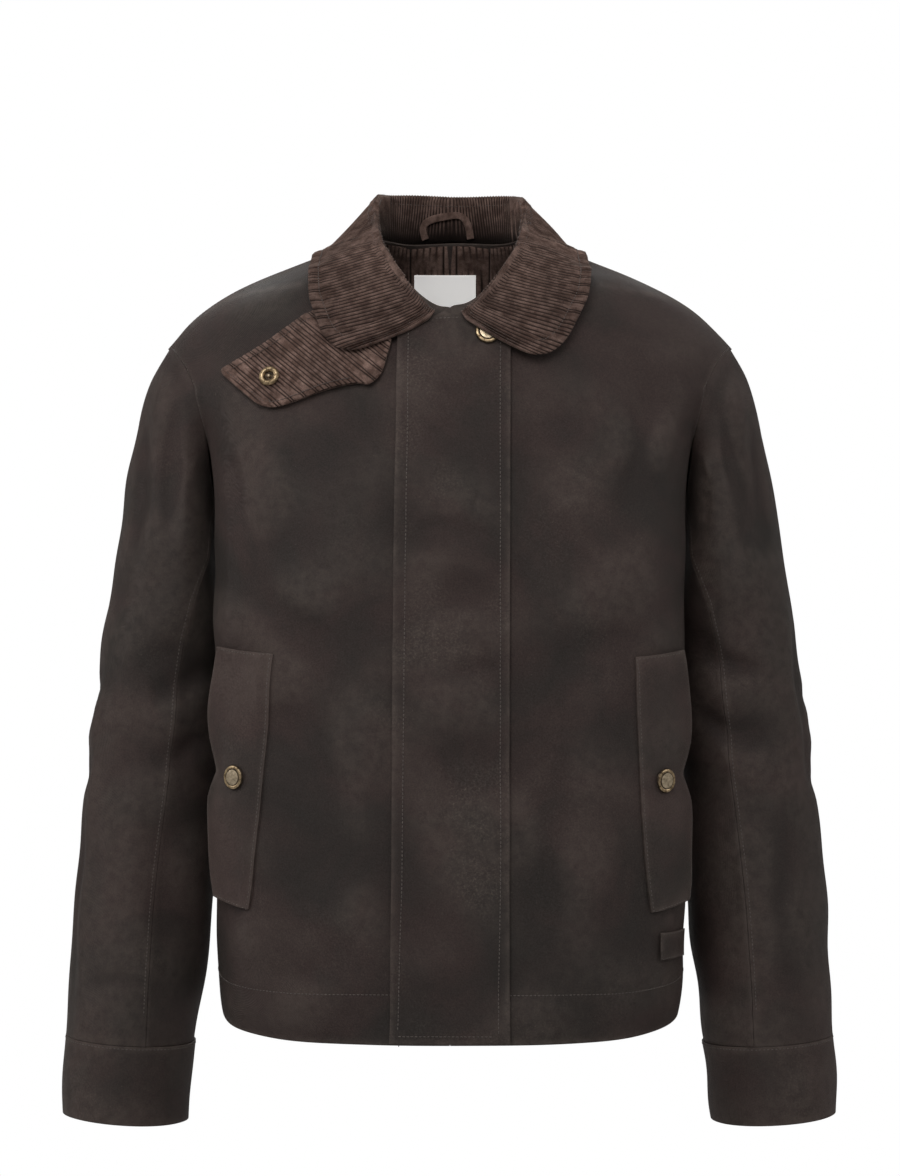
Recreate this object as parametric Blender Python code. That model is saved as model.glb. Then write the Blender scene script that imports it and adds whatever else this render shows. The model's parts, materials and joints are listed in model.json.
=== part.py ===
"""A short waxed cotton jacket with a corduroy collar, filled out as if worn by nobody.

Metres. +Z is up, +X is the wearer's left and -Y is the front. The origin is the nape: the
middle of the back neck seam. Every cloth piece is a closed wall of its own thickness.
"""

import math

import bmesh
import bpy
import numpy as np

# ---- Driving sizes

CLOTH = 0.0014  # waxed cotton with its backing
CORDUROY = 0.0020  # two layers of corduroy pressed together
SEAM_GAP = 0.0003
LIFT = 0.0005  # under a piece that lies on a panel

HEM = -0.590
HEM_RISE = 0.012  # of the hem at the side seams
ARMPIT = -0.245
NECK_FRONT = -0.166  # y of the centre front of the neck seam
NECK_HALF_WIDTH = 0.060
NECK_BACK_POWER = 0.75  # below 1 squares the seam off behind the shoulders
SHOULDER_SEAM_Y = -0.098  # where the shoulder seam meets the neck seam
SHOULDER_POINT = (0.2109, -0.0812)  # where it meets the sleeve, in plan
SHOULDER_HEIGHTS = (-0.13, 0.009)  # between which every point of the neck and shoulder seams lies

FLAP_END = -0.5885
FLAP_LIFT = 0.0010
FLAP_THICK = 0.0022
WELT_THICK = 0.0022

WALE = 0.0027  # from one corduroy rib to the next
WALE_HEIGHT = 0.0005
CUFF_COLUMNS = 24
SNAP_SIDES = 18
BISECTIONS = 40  # enough for any place looked for on a curve

WAXED = (0.050, 0.041, 0.036)
CORD = (0.115, 0.078, 0.062)
BRASS = (0.42, 0.33, 0.21)
LABEL = (0.62, 0.60, 0.58)


class Table:
    """Rows of sizes under named columns, read as smooth curves along the first column."""

    def __init__(self, columns, rows):
        self.columns = columns.split()
        self.values = np.array(rows, float)

    def at(self, place):
        """Every column at this place, by name."""
        along = self.values[:, 0]
        place = min(max(place, along[0]), along[-1])
        row = int(np.clip(np.searchsorted(along, place, side="right") - 1, 0, len(along) - 2))
        step = along[row + 1] - along[row]
        t = (place - along[row]) / step
        before, after = self.slopes(row), self.slopes(row + 1)
        start, end = self.values[row], self.values[row + 1]
        mixed = (
            (1 + 2 * t) * (1 - t) ** 2 * start
            + t * (1 - t) ** 2 * step * before
            + t * t * (3 - 2 * t) * end
            + t * t * (t - 1) * step * after
        )
        return dict(zip(self.columns, mixed))

    def slopes(self, row):
        """The slope of each column at a row, flat at its peaks so that no curve overshoots."""
        values, last = self.values, len(self.values) - 1
        low, high = max(row - 1, 0), min(row + 1, last)
        if low == row or high == row:
            return (values[high] - values[low]) / (values[high][0] - values[low][0])
        left = (values[row] - values[low]) / (values[row][0] - values[low][0])
        right = (values[high] - values[row]) / (values[high][0] - values[row][0])
        same_way = left * right > 0
        total = np.where(same_way, left + right, 1.0)
        return np.where(same_way, 2 * left * right / total, 0.0)


# Level sections of the body, from hem to neck. Each is two half superellipses that meet at the
# widest point; press is how far the hanging sleeve pushes the side in.
TORSO = Table(
    "height  widest  widest_y  front_y  front_power  back_y  back_power  press",
    [
        (-0.590, 0.1668, -0.088, -0.2060, 2.5, 0.034, 2.4, 0.000),
        (-0.572, 0.1705, -0.098, -0.2075, 2.6, 0.038, 2.5, 0.001),
        (-0.550, 0.1722, -0.108, -0.2075, 2.7, 0.040, 2.5, 0.003),
        (-0.480, 0.1718, -0.120, -0.2060, 2.7, 0.038, 2.5, 0.006),
        (-0.400, 0.1720, -0.125, -0.2040, 2.7, 0.036, 2.5, 0.009),
        (-0.320, 0.1723, -0.128, -0.2030, 2.7, 0.042, 2.5, 0.011),
        (-0.245, 0.1730, -0.128, -0.2010, 2.6, 0.050, 2.6, 0.012),
        (-0.200, 0.1750, -0.125, -0.1975, 2.4, 0.054, 2.8, 0.011),
        (-0.170, 0.1778, -0.121, -0.1940, 2.3, 0.055, 2.9, 0.009),
        (-0.150, 0.1815, -0.115, -0.1905, 2.2, 0.054, 2.9, 0.006),
        (-0.129, 0.1990, -0.104, -0.1865, 2.1, 0.052, 2.8, 0.003),
        (-0.110, 0.2105, -0.093, -0.1810, 2.0, 0.047, 2.6, 0.001),
        (-0.0885, 0.2110, -0.081, -0.1735, 2.0, 0.041, 2.4, 0.000),
        (-0.0735, 0.2000, -0.077, -0.1680, 2.0, 0.036, 2.3, 0.000),
        (-0.0510, 0.1705, -0.075, -0.1580, 2.0, 0.026, 2.2, 0.000),
        (-0.0390, 0.1440, -0.074, -0.1510, 2.0, 0.021, 2.2, 0.000),
        (-0.0210, 0.1010, -0.074, -0.1390, 2.0, 0.012, 2.2, 0.000),
        (-0.0060, 0.0660, -0.073, -0.1240, 2.0, 0.003, 2.2, 0.000),
        (0.0000, 0.0540, -0.072, -0.1160, 2.0, 0.000, 2.2, 0.000),
        (0.0100, 0.0400, -0.070, -0.1000, 2.0, -0.010, 2.2, 0.000),
    ],
)
PRESS_Y = -0.062
PRESS_REACH = 0.045

# The armhole seam round its loop: 0 degrees is the shoulder point, 90 the front, 180 the armpit.
ARMHOLE = Table(
    "angle  turn  height",
    [
        (-30, 1.18, -0.0940),
        (0, 1.00, -0.0885),
        (30, 0.79, -0.0995),
        (60, 0.73, -0.1215),
        (90, 0.87, -0.1460),
        (120, 1.05, -0.1790),
        (150, 1.125, -0.2190),
        (180, 1.22, -0.2450),
        (210, 1.32, -0.2240),
        (240, 1.365, -0.1830),
        (270, 1.37, -0.1445),
        (300, 1.32, -0.1135),
        (330, 1.18, -0.0940),
        (360, 1.00, -0.0885),
        (390, 0.79, -0.0995),
    ],
)

# Rings of the sleeve from the armhole (0) to the cuff seam (16) and the end of the cuff (18): the
# point furthest from the body, the point nearest to it, and how far the ring reaches to the front
# and back. stray is the share of the armhole's own shape that a ring keeps.
SLEEVE = Table(
    "ring  outer_x  outer_z  inner_x  inner_z  middle_y  half_depth  stray",
    [
        (0, 0.2110, -0.0885, 0.1570, -0.2450, -0.070, 0.058, 1.00),
        (1, 0.2212, -0.1035, 0.1585, -0.2475, -0.070, 0.060, 0.70),
        (2, 0.2272, -0.1240, 0.1600, -0.2500, -0.069, 0.062, 0.42),
        (3, 0.2339, -0.1540, 0.1615, -0.2540, -0.068, 0.0635, 0.20),
        (4, 0.2407, -0.1880, 0.1630, -0.2600, -0.067, 0.0645, 0.08),
        (5, 0.2469, -0.2250, 0.1642, -0.2680, -0.066, 0.065, 0.02),
        (6, 0.2529, -0.2620, 0.1652, -0.2830, -0.065, 0.065, 0.00),
        (7, 0.2591, -0.3000, 0.1662, -0.3070, -0.063, 0.064, 0.00),
        (8, 0.2647, -0.3350, 0.1675, -0.3380, -0.061, 0.0625, 0.00),
        (9, 0.2693, -0.3700, 0.1690, -0.3720, -0.060, 0.0605, 0.00),
        (10, 0.2734, -0.4045, 0.1708, -0.4070, -0.0605, 0.0585, 0.00),
        (11, 0.2771, -0.4390, 0.1730, -0.4420, -0.0625, 0.057, 0.00),
        (12, 0.2801, -0.4735, 0.1758, -0.4770, -0.066, 0.0555, 0.00),
        (13, 0.2821, -0.5085, 0.1780, -0.5125, -0.070, 0.054, 0.00),
        (14, 0.2837, -0.5430, 0.1820, -0.5475, -0.075, 0.0525, 0.00),
        (15, 0.2842, -0.5755, 0.1862, -0.5805, -0.080, 0.0505, 0.00),
        (16, 0.2856, -0.5990, 0.1895, -0.6048, -0.083, 0.049, 0.00),
        (17, 0.2868, -0.6270, 0.1932, -0.6330, -0.086, 0.0475, 0.00),
        (18, 0.2868, -0.6560, 0.1962, -0.6625, -0.089, 0.0455, 0.00),
    ],
)
CUFF_SEAM_RING = 16
ARMHOLE_GAP = 0.0005
ARMHOLE_LIFT = 0.0017  # of each of the first rings off the panels
CUFF_RINGS = (18, 17, 16)

# The two long seams of each sleeve, as angles round its rings. At the armhole they meet seam
# points of the body, which lie every ARMHOLE_STEP degrees.
SLEEVE_SEAMS = Table(
    "ring  front  back",
    [(0, 140, 240), (4, 130, 242), (7, 112, 246), (10, 107, 250), (13, 103, 250), (16, 108, 248)],
)
ARMHOLE_STEP = 20
UPPER_STEPS = 13  # columns of the upper sleeve, less one
UNDER_STEPS = 5

# Large folds of a sleeve: a ridge or hollow along an angle, between two rings.
SLEEVE_FOLDS = [
    # angle, half-width in degrees, first ring, last ring, height
    (23, 8, 6.0, 15.0, 0.0016),
    (6, 10, 6.5, 14.5, -0.0014),
    (88, 20, 7.0, 10.5, -0.0035),
    (118, 14, 8.0, 11.5, 0.0018),
    (252, 24, 7.5, 10.5, -0.0035),
    (225, 16, 8.5, 12.0, 0.0020),
    (296, 18, 1.5, 6.0, -0.0022),
    (58, 14, 1.5, 7.0, -0.0020),
]

# Large folds of the back: soft drapes that fall from the shoulder blades.
BACK_FOLDS = [
    # turn, half-width, lowest height, highest height, depth
    (1.55, 0.07, -0.50, -0.16, -0.0030),
    (1.68, 0.06, -0.56, -0.24, 0.0026),
    (1.42, 0.05, -0.52, -0.26, 0.0022),
]
FRONT_FOLDS = [
    (0.62, 0.07, -0.30, -0.12, 0.0016),
    (0.80, 0.06, -0.30, -0.17, -0.0012),
]

# The collar from the centre back (0) to its front end (1): the angle of the neck seam it is sewn
# to, the crest of its roll, the outer edge of the fall, the thickness and the rise of the fall.
COLLAR = Table(
    "along  neck  roll_x  roll_y  roll_z  edge_x  edge_y  edge_z  thick  arch",
    [
        (0.00, 180.0, 0.0000, 0.0000, 0.0350, 0.0000, 0.0290, -0.0310, 0.0020, 0.0040),
        (0.12, 157.0, 0.0240, -0.0040, 0.0348, 0.0360, 0.0260, -0.0310, 0.0020, 0.0040),
        (0.25, 132.0, 0.0480, -0.0180, 0.0335, 0.0710, 0.0100, -0.0280, 0.0020, 0.0060),
        (0.33, 114.0, 0.0549, -0.0420, 0.0296, 0.0890, -0.0140, -0.0235, 0.0020, 0.0085),
        (0.41, 95.0, 0.0565, -0.0680, 0.0195, 0.0960, -0.0450, -0.0205, 0.0020, 0.0075),
        (0.50, 75.0, 0.0534, -0.0960, 0.0020, 0.0985, -0.0760, -0.0215, 0.0020, 0.0045),
        (0.59, 58.5, 0.0473, -0.1200, -0.0148, 0.1030, -0.1010, -0.0320, 0.0020, 0.0035),
        (0.69, 45.0, 0.0396, -0.1400, -0.0308, 0.1020, -0.1200, -0.0495, 0.0020, 0.0025),
        (0.80, 32.5, 0.0298, -0.1570, -0.0472, 0.0965, -0.1430, -0.0680, 0.0020, 0.0025),
        (0.88, 24.0, 0.0214, -0.1650, -0.0578, 0.0885, -0.1590, -0.0845, 0.0018, 0.0025),
        (0.94, 18.0, 0.0165, -0.1700, -0.0634, 0.0769, -0.1680, -0.0927, 0.0016, 0.0020),
        (1.00, 12.0, 0.0127, -0.1735, -0.0665, 0.0606, -0.1750, -0.0937, 0.0014, 0.0015),
    ],
)
ROLL_RADIUS = 0.0036
ROLL_LIFT = 0.0052  # of the roll over the fronts
STAND_LIFT = 0.0018  # of the stand's foot over the edges of the fronts
FALL_SHARES = (0.10, 0.42, 0.74, 1.0)  # rows of the fall, from the roll to the edge
FALL_LIFT = (0.0024, 0.0062)  # of the fall over the shoulders, and over the flap and tab in front
# Where each change along the collar starts, as a share of it from the back, and how far it takes.
FALL_TURNS = (0.42, 0.15)  # the fall is pushed off the body forwards, no longer upwards
FALL_RISES = (0.50, 0.12)  # it rises over the flap and the tab
STAND_RISES = (0.45, 0.20)  # the stand rises over the fronts
LEFT_SHIFTS = (0.55, 0.45)  # the left half moves aside for the tab's stud
STAND_BACK = 0.3  # as far along as the hanger loop may reach
COLLAR_SAMPLES = 400  # for sharing the wales out evenly, of which the length takes every tenth
LENGTH_STEP = 10
LEFT_SNAP_LIFT = 0.0016  # more at the wearer's left end, which lies on a snap
LEFT_ROLL_SHIFT = np.array([-0.0045, 0.0, -0.0015])  # that end reaches nearer the middle
LEFT_EDGE_SHIFT = np.array([-0.0085, 0.0, -0.0030])
COLUMNS_PER_BACK = 6  # ribbed columns to each column of a plain underside

FLAP = Table(
    "height  right_x  left_x",
    [
        (FLAP_END, -0.0425, 0.0419),
        (-0.470, -0.0413, 0.0417),
        (-0.245, -0.0397, 0.0424),
        (-0.165, -0.0381, 0.0428),
        (-0.070, -0.0376, 0.0436),
    ],
)
FLAP_COLUMNS = 7
FLAP_TOP = -0.070
FLAP_YOKE = (ARMPIT, -0.215, -0.188, -0.162, -0.138, -0.118, -0.100, -0.085, FLAP_TOP)
FLAP_BELOW_SEAM = 0.0015  # its top edge, below the neck seam in the middle
FLAP_END_DROP = 0.0060  # and how much lower it is beside the collar's ends
FLAP_DROP_X = (0.004, 0.008)  # where the drop starts, and how far it takes
FLAP_SNAP = (0.0267, -0.0857)

# Pocket welts from foot to top: where each is sewn down, how far out its free edge reaches, how
# far that edge stands off the side, and how much higher it is than the sewn edge.
WELT = Table(
    "height  sewn_x  free_x  stand_off  rise",
    [
        (-0.4965, 0.1435, 0.1722, 0.0030, 0.0068),
        (-0.4800, 0.1413, 0.1746, 0.0036, 0.0064),
        (-0.4600, 0.1390, 0.1752, 0.0040, 0.0060),
        (-0.4363, 0.1369, 0.1760, 0.0042, 0.0055),
        (-0.4220, 0.1358, 0.1752, 0.0036, 0.0050),
        (-0.4115, 0.1350, 0.1712, 0.0022, 0.0045),
        (-0.4020, 0.1343, 0.1676, 0.0010, 0.0040),
        (-0.3925, 0.1337, 0.1706, 0.0020, 0.0040),
        (-0.3815, 0.1330, 0.1744, 0.0034, 0.0042),
        (-0.3655, 0.1320, 0.1754, 0.0042, 0.0044),
        (-0.3465, 0.1308, 0.1738, 0.0036, 0.0046),
        (-0.3270, 0.1295, 0.1712, 0.0024, 0.0048),
        (-0.3139, 0.1285, 0.1682, 0.0012, 0.0048),
    ],
)
WELT_COLUMNS = 6
WELT_DROP = {1: 0.0024, -1: 0.0}  # the wearer's left welt lies a little lower
WELT_LEAN = {1: 0.0037, -1: -0.0037}  # and its top is sewn on further out, the other's further in
WELT_LAST_TURN = 0.97
WELT_SNAP = (0.1540, -0.4040)

TAB_SLOPE = math.radians(40)
TAB = Table(
    "across  upper  lower",
    [
        (-0.1918, -0.0514, -0.0184),
        (-0.1887, -0.0540, -0.0104),
        (-0.1815, -0.0520, -0.0029),
        (-0.1724, -0.0490, 0.0027),
        (-0.1534, -0.0432, 0.0135),
        (-0.1371, -0.0385, 0.0261),
        (-0.1285, -0.0362, 0.0361),
        (-0.1221, -0.0345, 0.0372),
        (-0.1050, -0.0250, 0.0305),
        (-0.0950, -0.0170, 0.0252),
    ],
)
TAB_RIBS = 36
TAB_ROWS = 4
TAB_SNAP = (-0.1285, -0.1161)

# Inside the back, in cells of its own grid: columns from the centre and rows down from the neck.
FACING_CELLS = 4
FACING_ROWS = (0.04, 1.0, 2.0, 2.86)
FACING_THICK = 0.0012
FACING_WALES = 48
NECK_LABEL_X = (-0.0278, 0.0201)
NECK_LABEL_ROWS = (0.80, 1.0, 1.5, 2.05)
THIN = 0.0006

# The hanger loop along the collar stand, as x and height along the middle of its strip.
HANGER = [
    (-0.0188, 0.0020),
    (-0.0216, 0.0091),
    (-0.0195, 0.0145),
    (-0.0121, 0.0176),
    (-0.0036, 0.0192),
    (0.0056, 0.0208),
    (0.0110, 0.0185),
    (0.0144, 0.0122),
    (0.0159, 0.0020),
]
HANGER_HALF_WIDTH = 0.0028
HANGER_THICK = 0.0016
HANGER_LIFT = 0.0008

PATCH_X = (0.1500, 0.1690)
PATCH_HEIGHT = (-0.5335, -0.5140)

# Half sections of the metal parts, as radius and height.
CAP_SECTION = [
    (0.0, 0.0021), (0.0056, 0.0021), (0.0062, 0.0017), (0.0075, 0.0020), (0.0086, 0.0015), (0.0089, 0.0006),
    (0.0084, 0.0), (0.0, 0.0),
]
SOCKET_SECTION = [
    (0.0, 0.0021), (0.0013, 0.0018), (0.0017, 0.0006), (0.0033, 0.0006), (0.0040, 0.0021), (0.0053, 0.0026),
    (0.0068, 0.0022), (0.0075, 0.0010), (0.0073, 0.0), (0.0, 0.0),
]


# ---- The form of the body

def smooth_step(value):
    value = min(max(value, 0.0), 1.0)
    return value * value * (3 - 2 * value)


def crossing(rising, level, low, high):
    """The place between low and high where a rising function reaches this level."""
    for _ in range(BISECTIONS):
        middle = (low + high) / 2
        if rising(middle) < level:
            low = middle
        else:
            high = middle
    return (low + high) / 2


def ramp(along, change):
    """0 before the place where a change starts, 1 after it."""
    start, length = change
    return smooth_step((along - start) / length)


def swell(value, low, high):
    """1 between low and high, fading to 0 at both ends."""
    middle, half = (low + high) / 2, (high - low) / 2
    return smooth_step(1.6 * (1 - abs(value - middle) / half))


def body_fold(turn, height, folds):
    total = 0.0
    for at, half_width, low, high, depth in folds:
        total += depth * math.exp(-(((turn - at) / half_width) ** 2)) * swell(height, low, high)
    return total


def plain_body(turn, height):
    """A point of the body: turn is 0 at the centre front, 1 at the widest, 2 at the centre back."""
    level = TORSO.at(height)
    across, along = math.sin(turn * math.pi / 2), math.cos(turn * math.pi / 2)
    if along >= 0:
        power, depth = level["front_power"], level["widest_y"] - level["front_y"]
    else:
        power, depth = level["back_power"], level["back_y"] - level["widest_y"]
    size = (abs(across) ** power + abs(along) ** power) ** (-1 / power)
    x = level["widest"] * across * size
    y = level["widest_y"] - depth * along * size
    pressed = level["press"] * math.exp(-(((y - PRESS_Y) / PRESS_REACH) ** 2))
    return np.array([x - pressed * across, y, height])


def body_normal(turn, height):
    step = 0.004
    round_it = plain_body(turn + step, height) - plain_body(turn - step, height)
    up_it = plain_body(turn, height + step / 2) - plain_body(turn, height - step / 2)
    normal = np.cross(round_it, up_it)
    return normal / np.linalg.norm(normal)


def body(turn, height, lift=0.0):
    """The outer cloth with its large folds, or a point this far above it."""
    folds = FRONT_FOLDS if turn < 1.2 else BACK_FOLDS
    raised = body_fold(turn, height, folds) + lift
    return plain_body(turn, height) + raised * body_normal(turn, height)


def stretch_to(x, y, height):
    """Below 1 inside the level section at this height, and above 1 outside it."""
    level = TORSO.at(height)
    ahead = level["widest_y"] - y
    if ahead >= 0:
        power, depth = level["front_power"], level["widest_y"] - level["front_y"]
    else:
        power, depth = level["back_power"], level["back_y"] - level["widest_y"]
    return (abs(x / level["widest"]) ** power + abs(ahead / depth) ** power) ** (1 / power)


def off_body(point, lift, ahead=0.0):
    """The point, moved off the body where it is nearer than this: straight off it, or ahead (1)."""
    step = 0.0004
    for _ in range(8):
        more = np.array([stretch_to(*(point + move)) for move in np.eye(3) * step])
        less = np.array([stretch_to(*(point - move)) for move in np.eye(3) * step])
        slope = (more - less) / (2 * step)
        steepness = np.linalg.norm(slope)
        distance = (stretch_to(*point) - 1) / steepness
        if distance >= lift - 1e-5:
            break
        way = slope / steepness * (1 - ahead) - np.array([0.0, ahead, 0.0])
        way /= np.linalg.norm(way)
        point = point + way * (lift - distance) / max(np.dot(way, slope / steepness), 0.3)
    return point


def turn_at(x, y, height):
    level = TORSO.at(height)
    ahead = level["widest_y"] - y
    depth = level["widest_y"] - level["front_y"] if ahead >= 0 else level["back_y"] - level["widest_y"]
    return math.atan2(abs(x) / level["widest"], ahead / depth) * 2 / math.pi


def front_turn(x, height):
    """The turn of the point of the front at this distance from the centre front."""
    return crossing(lambda turn: plain_body(turn, height)[0], abs(x), 0.0, 1.0)


def on_shoulder(x, y):
    """(turn, height) of the shoulder straight above or below a point of the plan."""
    height = crossing(lambda at: stretch_to(x, y, at), 1.0, *SHOULDER_HEIGHTS)
    return turn_at(x, y, height), height


def neck_seam(angle):
    """(turn, height) of the neck seam, 0 degrees at the centre front and 180 at the nape."""
    reach = -NECK_FRONT / 2
    x = NECK_HALF_WIDTH * math.sin(math.radians(angle)) ** (NECK_BACK_POWER if angle > 90 else 1)
    y = -reach - reach * math.cos(math.radians(angle))
    return on_shoulder(x, y)


def shoulder_seam(share):
    """(turn, height) of the shoulder seam, from the neck seam (0) to the shoulder point (1)."""
    reach = -NECK_FRONT / 2
    angle = math.acos((-SHOULDER_SEAM_Y - reach) / reach)
    start = np.array([NECK_HALF_WIDTH * math.sin(angle), SHOULDER_SEAM_Y])
    end = np.array(SHOULDER_POINT)
    x, y = start + (end - start) * share
    return on_shoulder(x, y)


def armhole(angle):
    """(turn, height) of the armhole seam."""
    level = ARMHOLE.at(angle)
    return level["turn"], level["height"]


SEAM_ANGLE = math.degrees(math.acos((-SHOULDER_SEAM_Y + NECK_FRONT / 2) / (-NECK_FRONT / 2)))


# ---- Grids and walls

def spread(count):
    return np.linspace(0.0, 1.0, count)


def settle(point):
    """(turn, height) of the point of the body nearest to this one."""
    step = 0.0004
    for _ in range(6):
        more = np.array([stretch_to(*(point + move)) for move in np.eye(3) * step])
        less = np.array([stretch_to(*(point - move)) for move in np.eye(3) * step])
        slope = (more - less) / (2 * step)
        point = point - slope * (stretch_to(*point) - 1) / np.dot(slope, slope)
    return turn_at(*point), point[2]


def patch(bottom, top, inner, outer):
    """Fills four joined edges, each an array of (turn, height), with a grid: rows run inner to outer."""
    edges = [np.array([plain_body(*place) for place in edge]) for edge in (bottom, top, inner, outer)]
    low, high, near, far = edges
    filled = np.zeros((len(inner), len(bottom), 2))
    for row, v in enumerate(spread(len(inner))):
        for column, u in enumerate(spread(len(bottom))):
            corners = (1 - v) * ((1 - u) * low[0] + u * low[-1]) + v * ((1 - u) * high[0] + u * high[-1])
            across = (1 - u) * near[row] + u * far[row]
            filled[row, column] = settle((1 - v) * low[column] + v * high[column] + across - corners)
    filled[0], filled[-1], filled[:, 0], filled[:, -1] = bottom, top, inner, outer
    return filled


def level_rows(heights, inner_turn, outer_turn, columns):
    """Level rows of (turn, height) between two turns."""
    turns = inner_turn + (outer_turn - inner_turn) * spread(columns)
    return np.array([[(turn, height) for turn in turns] for height in heights])


def raise_hem(rows):
    """Lifts the first row towards the side seams."""
    for place in rows[0]:
        place[1] += HEM_RISE * smooth_step(1 - abs(place[0] - 1.1) / 0.7)
    return rows


def points_of(places, lift=0.0):
    return np.array([[body(turn, height, lift) for turn, height in row] for row in places])


def normals_of(grid, closed=False):
    """Outward directions of a grid whose rows turn from front to back and climb."""
    if closed:
        across = np.roll(grid, -1, axis=1) - np.roll(grid, 1, axis=1)
    else:
        across = np.gradient(grid, axis=1)
    up = np.gradient(grid, axis=0)
    normals = np.cross(across, up)
    return normals / np.linalg.norm(normals, axis=2, keepdims=True)


def ease(grid, edges, gap=SEAM_GAP / 2):
    """Draws the named edges of a grid in by half a seam gap."""
    for name, edge, beside in (("first_row", 0, 1), ("last_row", -1, -2)):
        if name in edges:
            inward = grid[beside] - grid[edge]
            grid[edge] += inward / np.linalg.norm(inward, axis=1, keepdims=True) * gap
    for name, edge, beside in (("first_column", 0, 1), ("last_column", -1, -2)):
        if name in edges:
            inward = grid[:, beside] - grid[:, edge]
            grid[:, edge] += inward / np.linalg.norm(inward, axis=1, keepdims=True) * gap
    return grid


def mirrored(grid):
    return grid[:, ::-1] * np.array([-1.0, 1.0, 1.0])


def finish_of(name, colour, roughness, metallic=0.0):
    made = bpy.data.materials.new(name)
    made.use_nodes = True
    shader = made.node_tree.nodes["Principled BSDF"]
    shader.inputs["Base Color"].default_value = (*colour, 1.0)
    shader.inputs["Roughness"].default_value = roughness
    shader.inputs["Metallic"].default_value = metallic
    return made


def split(points, face):
    """A face of four points as two triangles, cut along its shorter diagonal, so that sides match."""
    if len(face) != 4:
        return [face]
    a, b, c, d = face
    if np.linalg.norm(points[a] - points[c]) <= np.linalg.norm(points[b] - points[d]):
        return [(a, b, c), (a, c, d)]
    return [(b, c, d), (b, d, a)]


def piece(name, points, faces, finish):
    """A named object from points and faces, with its faces turned outwards."""
    points = [np.asarray(point) for point in points]
    faces = [part for face in faces for part in split(points, face)]
    mesh = bpy.data.meshes.new(name)
    mesh.from_pydata([tuple(point) for point in points], [], faces)
    shaped = bmesh.new()
    shaped.from_mesh(mesh)
    bmesh.ops.recalc_face_normals(shaped, faces=shaped.faces)
    if shaped.calc_volume(signed=True) < 0:
        bmesh.ops.reverse_faces(shaped, faces=shaped.faces)
    shaped.to_mesh(mesh)
    shaped.free()
    mesh.shade_smooth()
    mesh.set_sharp_from_angle(angle=math.radians(40))
    mesh.materials.append(finish_of(name + "_finish", *finish))
    made = bpy.data.objects.new(name, mesh)
    bpy.context.collection.objects.link(made)
    return made


def quads(rows, columns, start, closed=False):
    faces = []
    for row in range(rows - 1):
        for column in range(columns if closed else columns - 1):
            beside = (column + 1) % columns
            corner = start + row * columns
            above = corner + columns
            faces.append((corner + column, corner + beside, above + beside, above + column))
    return faces


def wall(name, outer, inner, finish, closed=False):
    """A closed wall between two grids. The outer one may have several columns to each inner one."""
    rows, columns = outer.shape[:2]
    inner_columns = inner.shape[1]
    start = rows * columns
    faces = quads(rows, columns, 0, closed)
    faces += quads(rows, inner_columns, start, closed)
    steps = inner_columns if closed else inner_columns - 1
    per_step = columns // inner_columns if closed else (columns - 1) // (inner_columns - 1)
    for row in (0, rows - 1):
        for step in range(steps):
            face = [row * columns + (step * per_step + k) % columns for k in range(per_step + 1)]
            back = start + row * inner_columns
            face += [back + (step + 1) % inner_columns, back + step]
            faces.append(tuple(face))
    if not closed:
        for row in range(rows - 1):
            for edge, inner_edge in ((0, 0), (columns - 1, inner_columns - 1)):
                low, high = row * columns + edge, (row + 1) * columns + edge
                back_low = start + row * inner_columns + inner_edge
                back_high = back_low + inner_columns
                faces.append((low, high, back_high, back_low))
    points = np.concatenate([outer.reshape(-1, 3), inner.reshape(-1, 3)])
    return piece(name, points, faces, finish)


def cloth_wall(name, outer, inner, closed=False):
    return wall(name, outer, inner, (WAXED, 0.55), closed)


# ---- Fronts and back

FRONT_COLUMNS = 12
BACK_COLUMNS = 12
NECK_COLUMNS = 5  # of those, along the neck seam
YOKE_ROWS = 180 // ARMHOLE_STEP + 1
HEM_HEIGHTS = (HEM, -0.572, -0.548, -0.510, -0.470, -0.430, -0.390, -0.350, -0.315, -0.280)


def panel_places(middle_turn, neck_angle, first_angle, columns):
    """Half a panel from its middle line to the side seam and armhole, as rows of (turn, height)."""
    side = ARMHOLE.at(180)["turn"]
    rows = raise_hem(level_rows(HEM_HEIGHTS, middle_turn, side, columns))
    bottom = level_rows([ARMPIT], middle_turn, side, columns)[0]
    neck = [neck_seam(neck_angle + (SEAM_ANGLE - neck_angle) * share) for share in spread(NECK_COLUMNS)]
    shoulder = [shoulder_seam(share) for share in spread(columns - NECK_COLUMNS + 1)[1:]]
    top = np.array(neck + shoulder)
    rise = top[0][1] - ARMPIT
    middle = np.array([(middle_turn, ARMPIT + rise * share) for share in spread(YOKE_ROWS)])
    hole = np.array([armhole(180 + (first_angle - 180) * share) for share in spread(YOKE_ROWS)])
    top[-1] = hole[-1]
    return np.concatenate([rows, patch(bottom, top, middle, hole)])


def make_fronts():
    places = panel_places(0.0, 0.0, 0.0, FRONT_COLUMNS)
    sides = []
    for lift in (0.0, -CLOTH):
        grid = points_of(places, lift)
        grid[:, 0, 0] = SEAM_GAP / 2
        sides.append(ease(grid, ["last_row", "last_column"]))
    cloth_wall("front_left", *sides)
    cloth_wall("front_right", *[mirrored(side) for side in sides])


BACK_PLACES = panel_places(2.0, 180.0, 360.0, BACK_COLUMNS)
BACK_FACE = points_of(BACK_PLACES, -CLOTH)
BACK_INWARD = BACK_FACE - points_of(BACK_PLACES, 0.0)
BACK_INWARD /= np.linalg.norm(BACK_INWARD, axis=2, keepdims=True)


def make_back():
    sides = []
    for lift in (0.0, -CLOTH):
        half = ease(points_of(BACK_PLACES, lift), ["last_row", "last_column"])
        half[:, 0, 0] = 0.0
        turned = half[:, ::-1]
        sides.append(np.concatenate([turned, mirrored(turned)[:, 1:]], axis=1))
    cloth_wall("back", *sides)


# ---- Sleeves and cuffs

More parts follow.
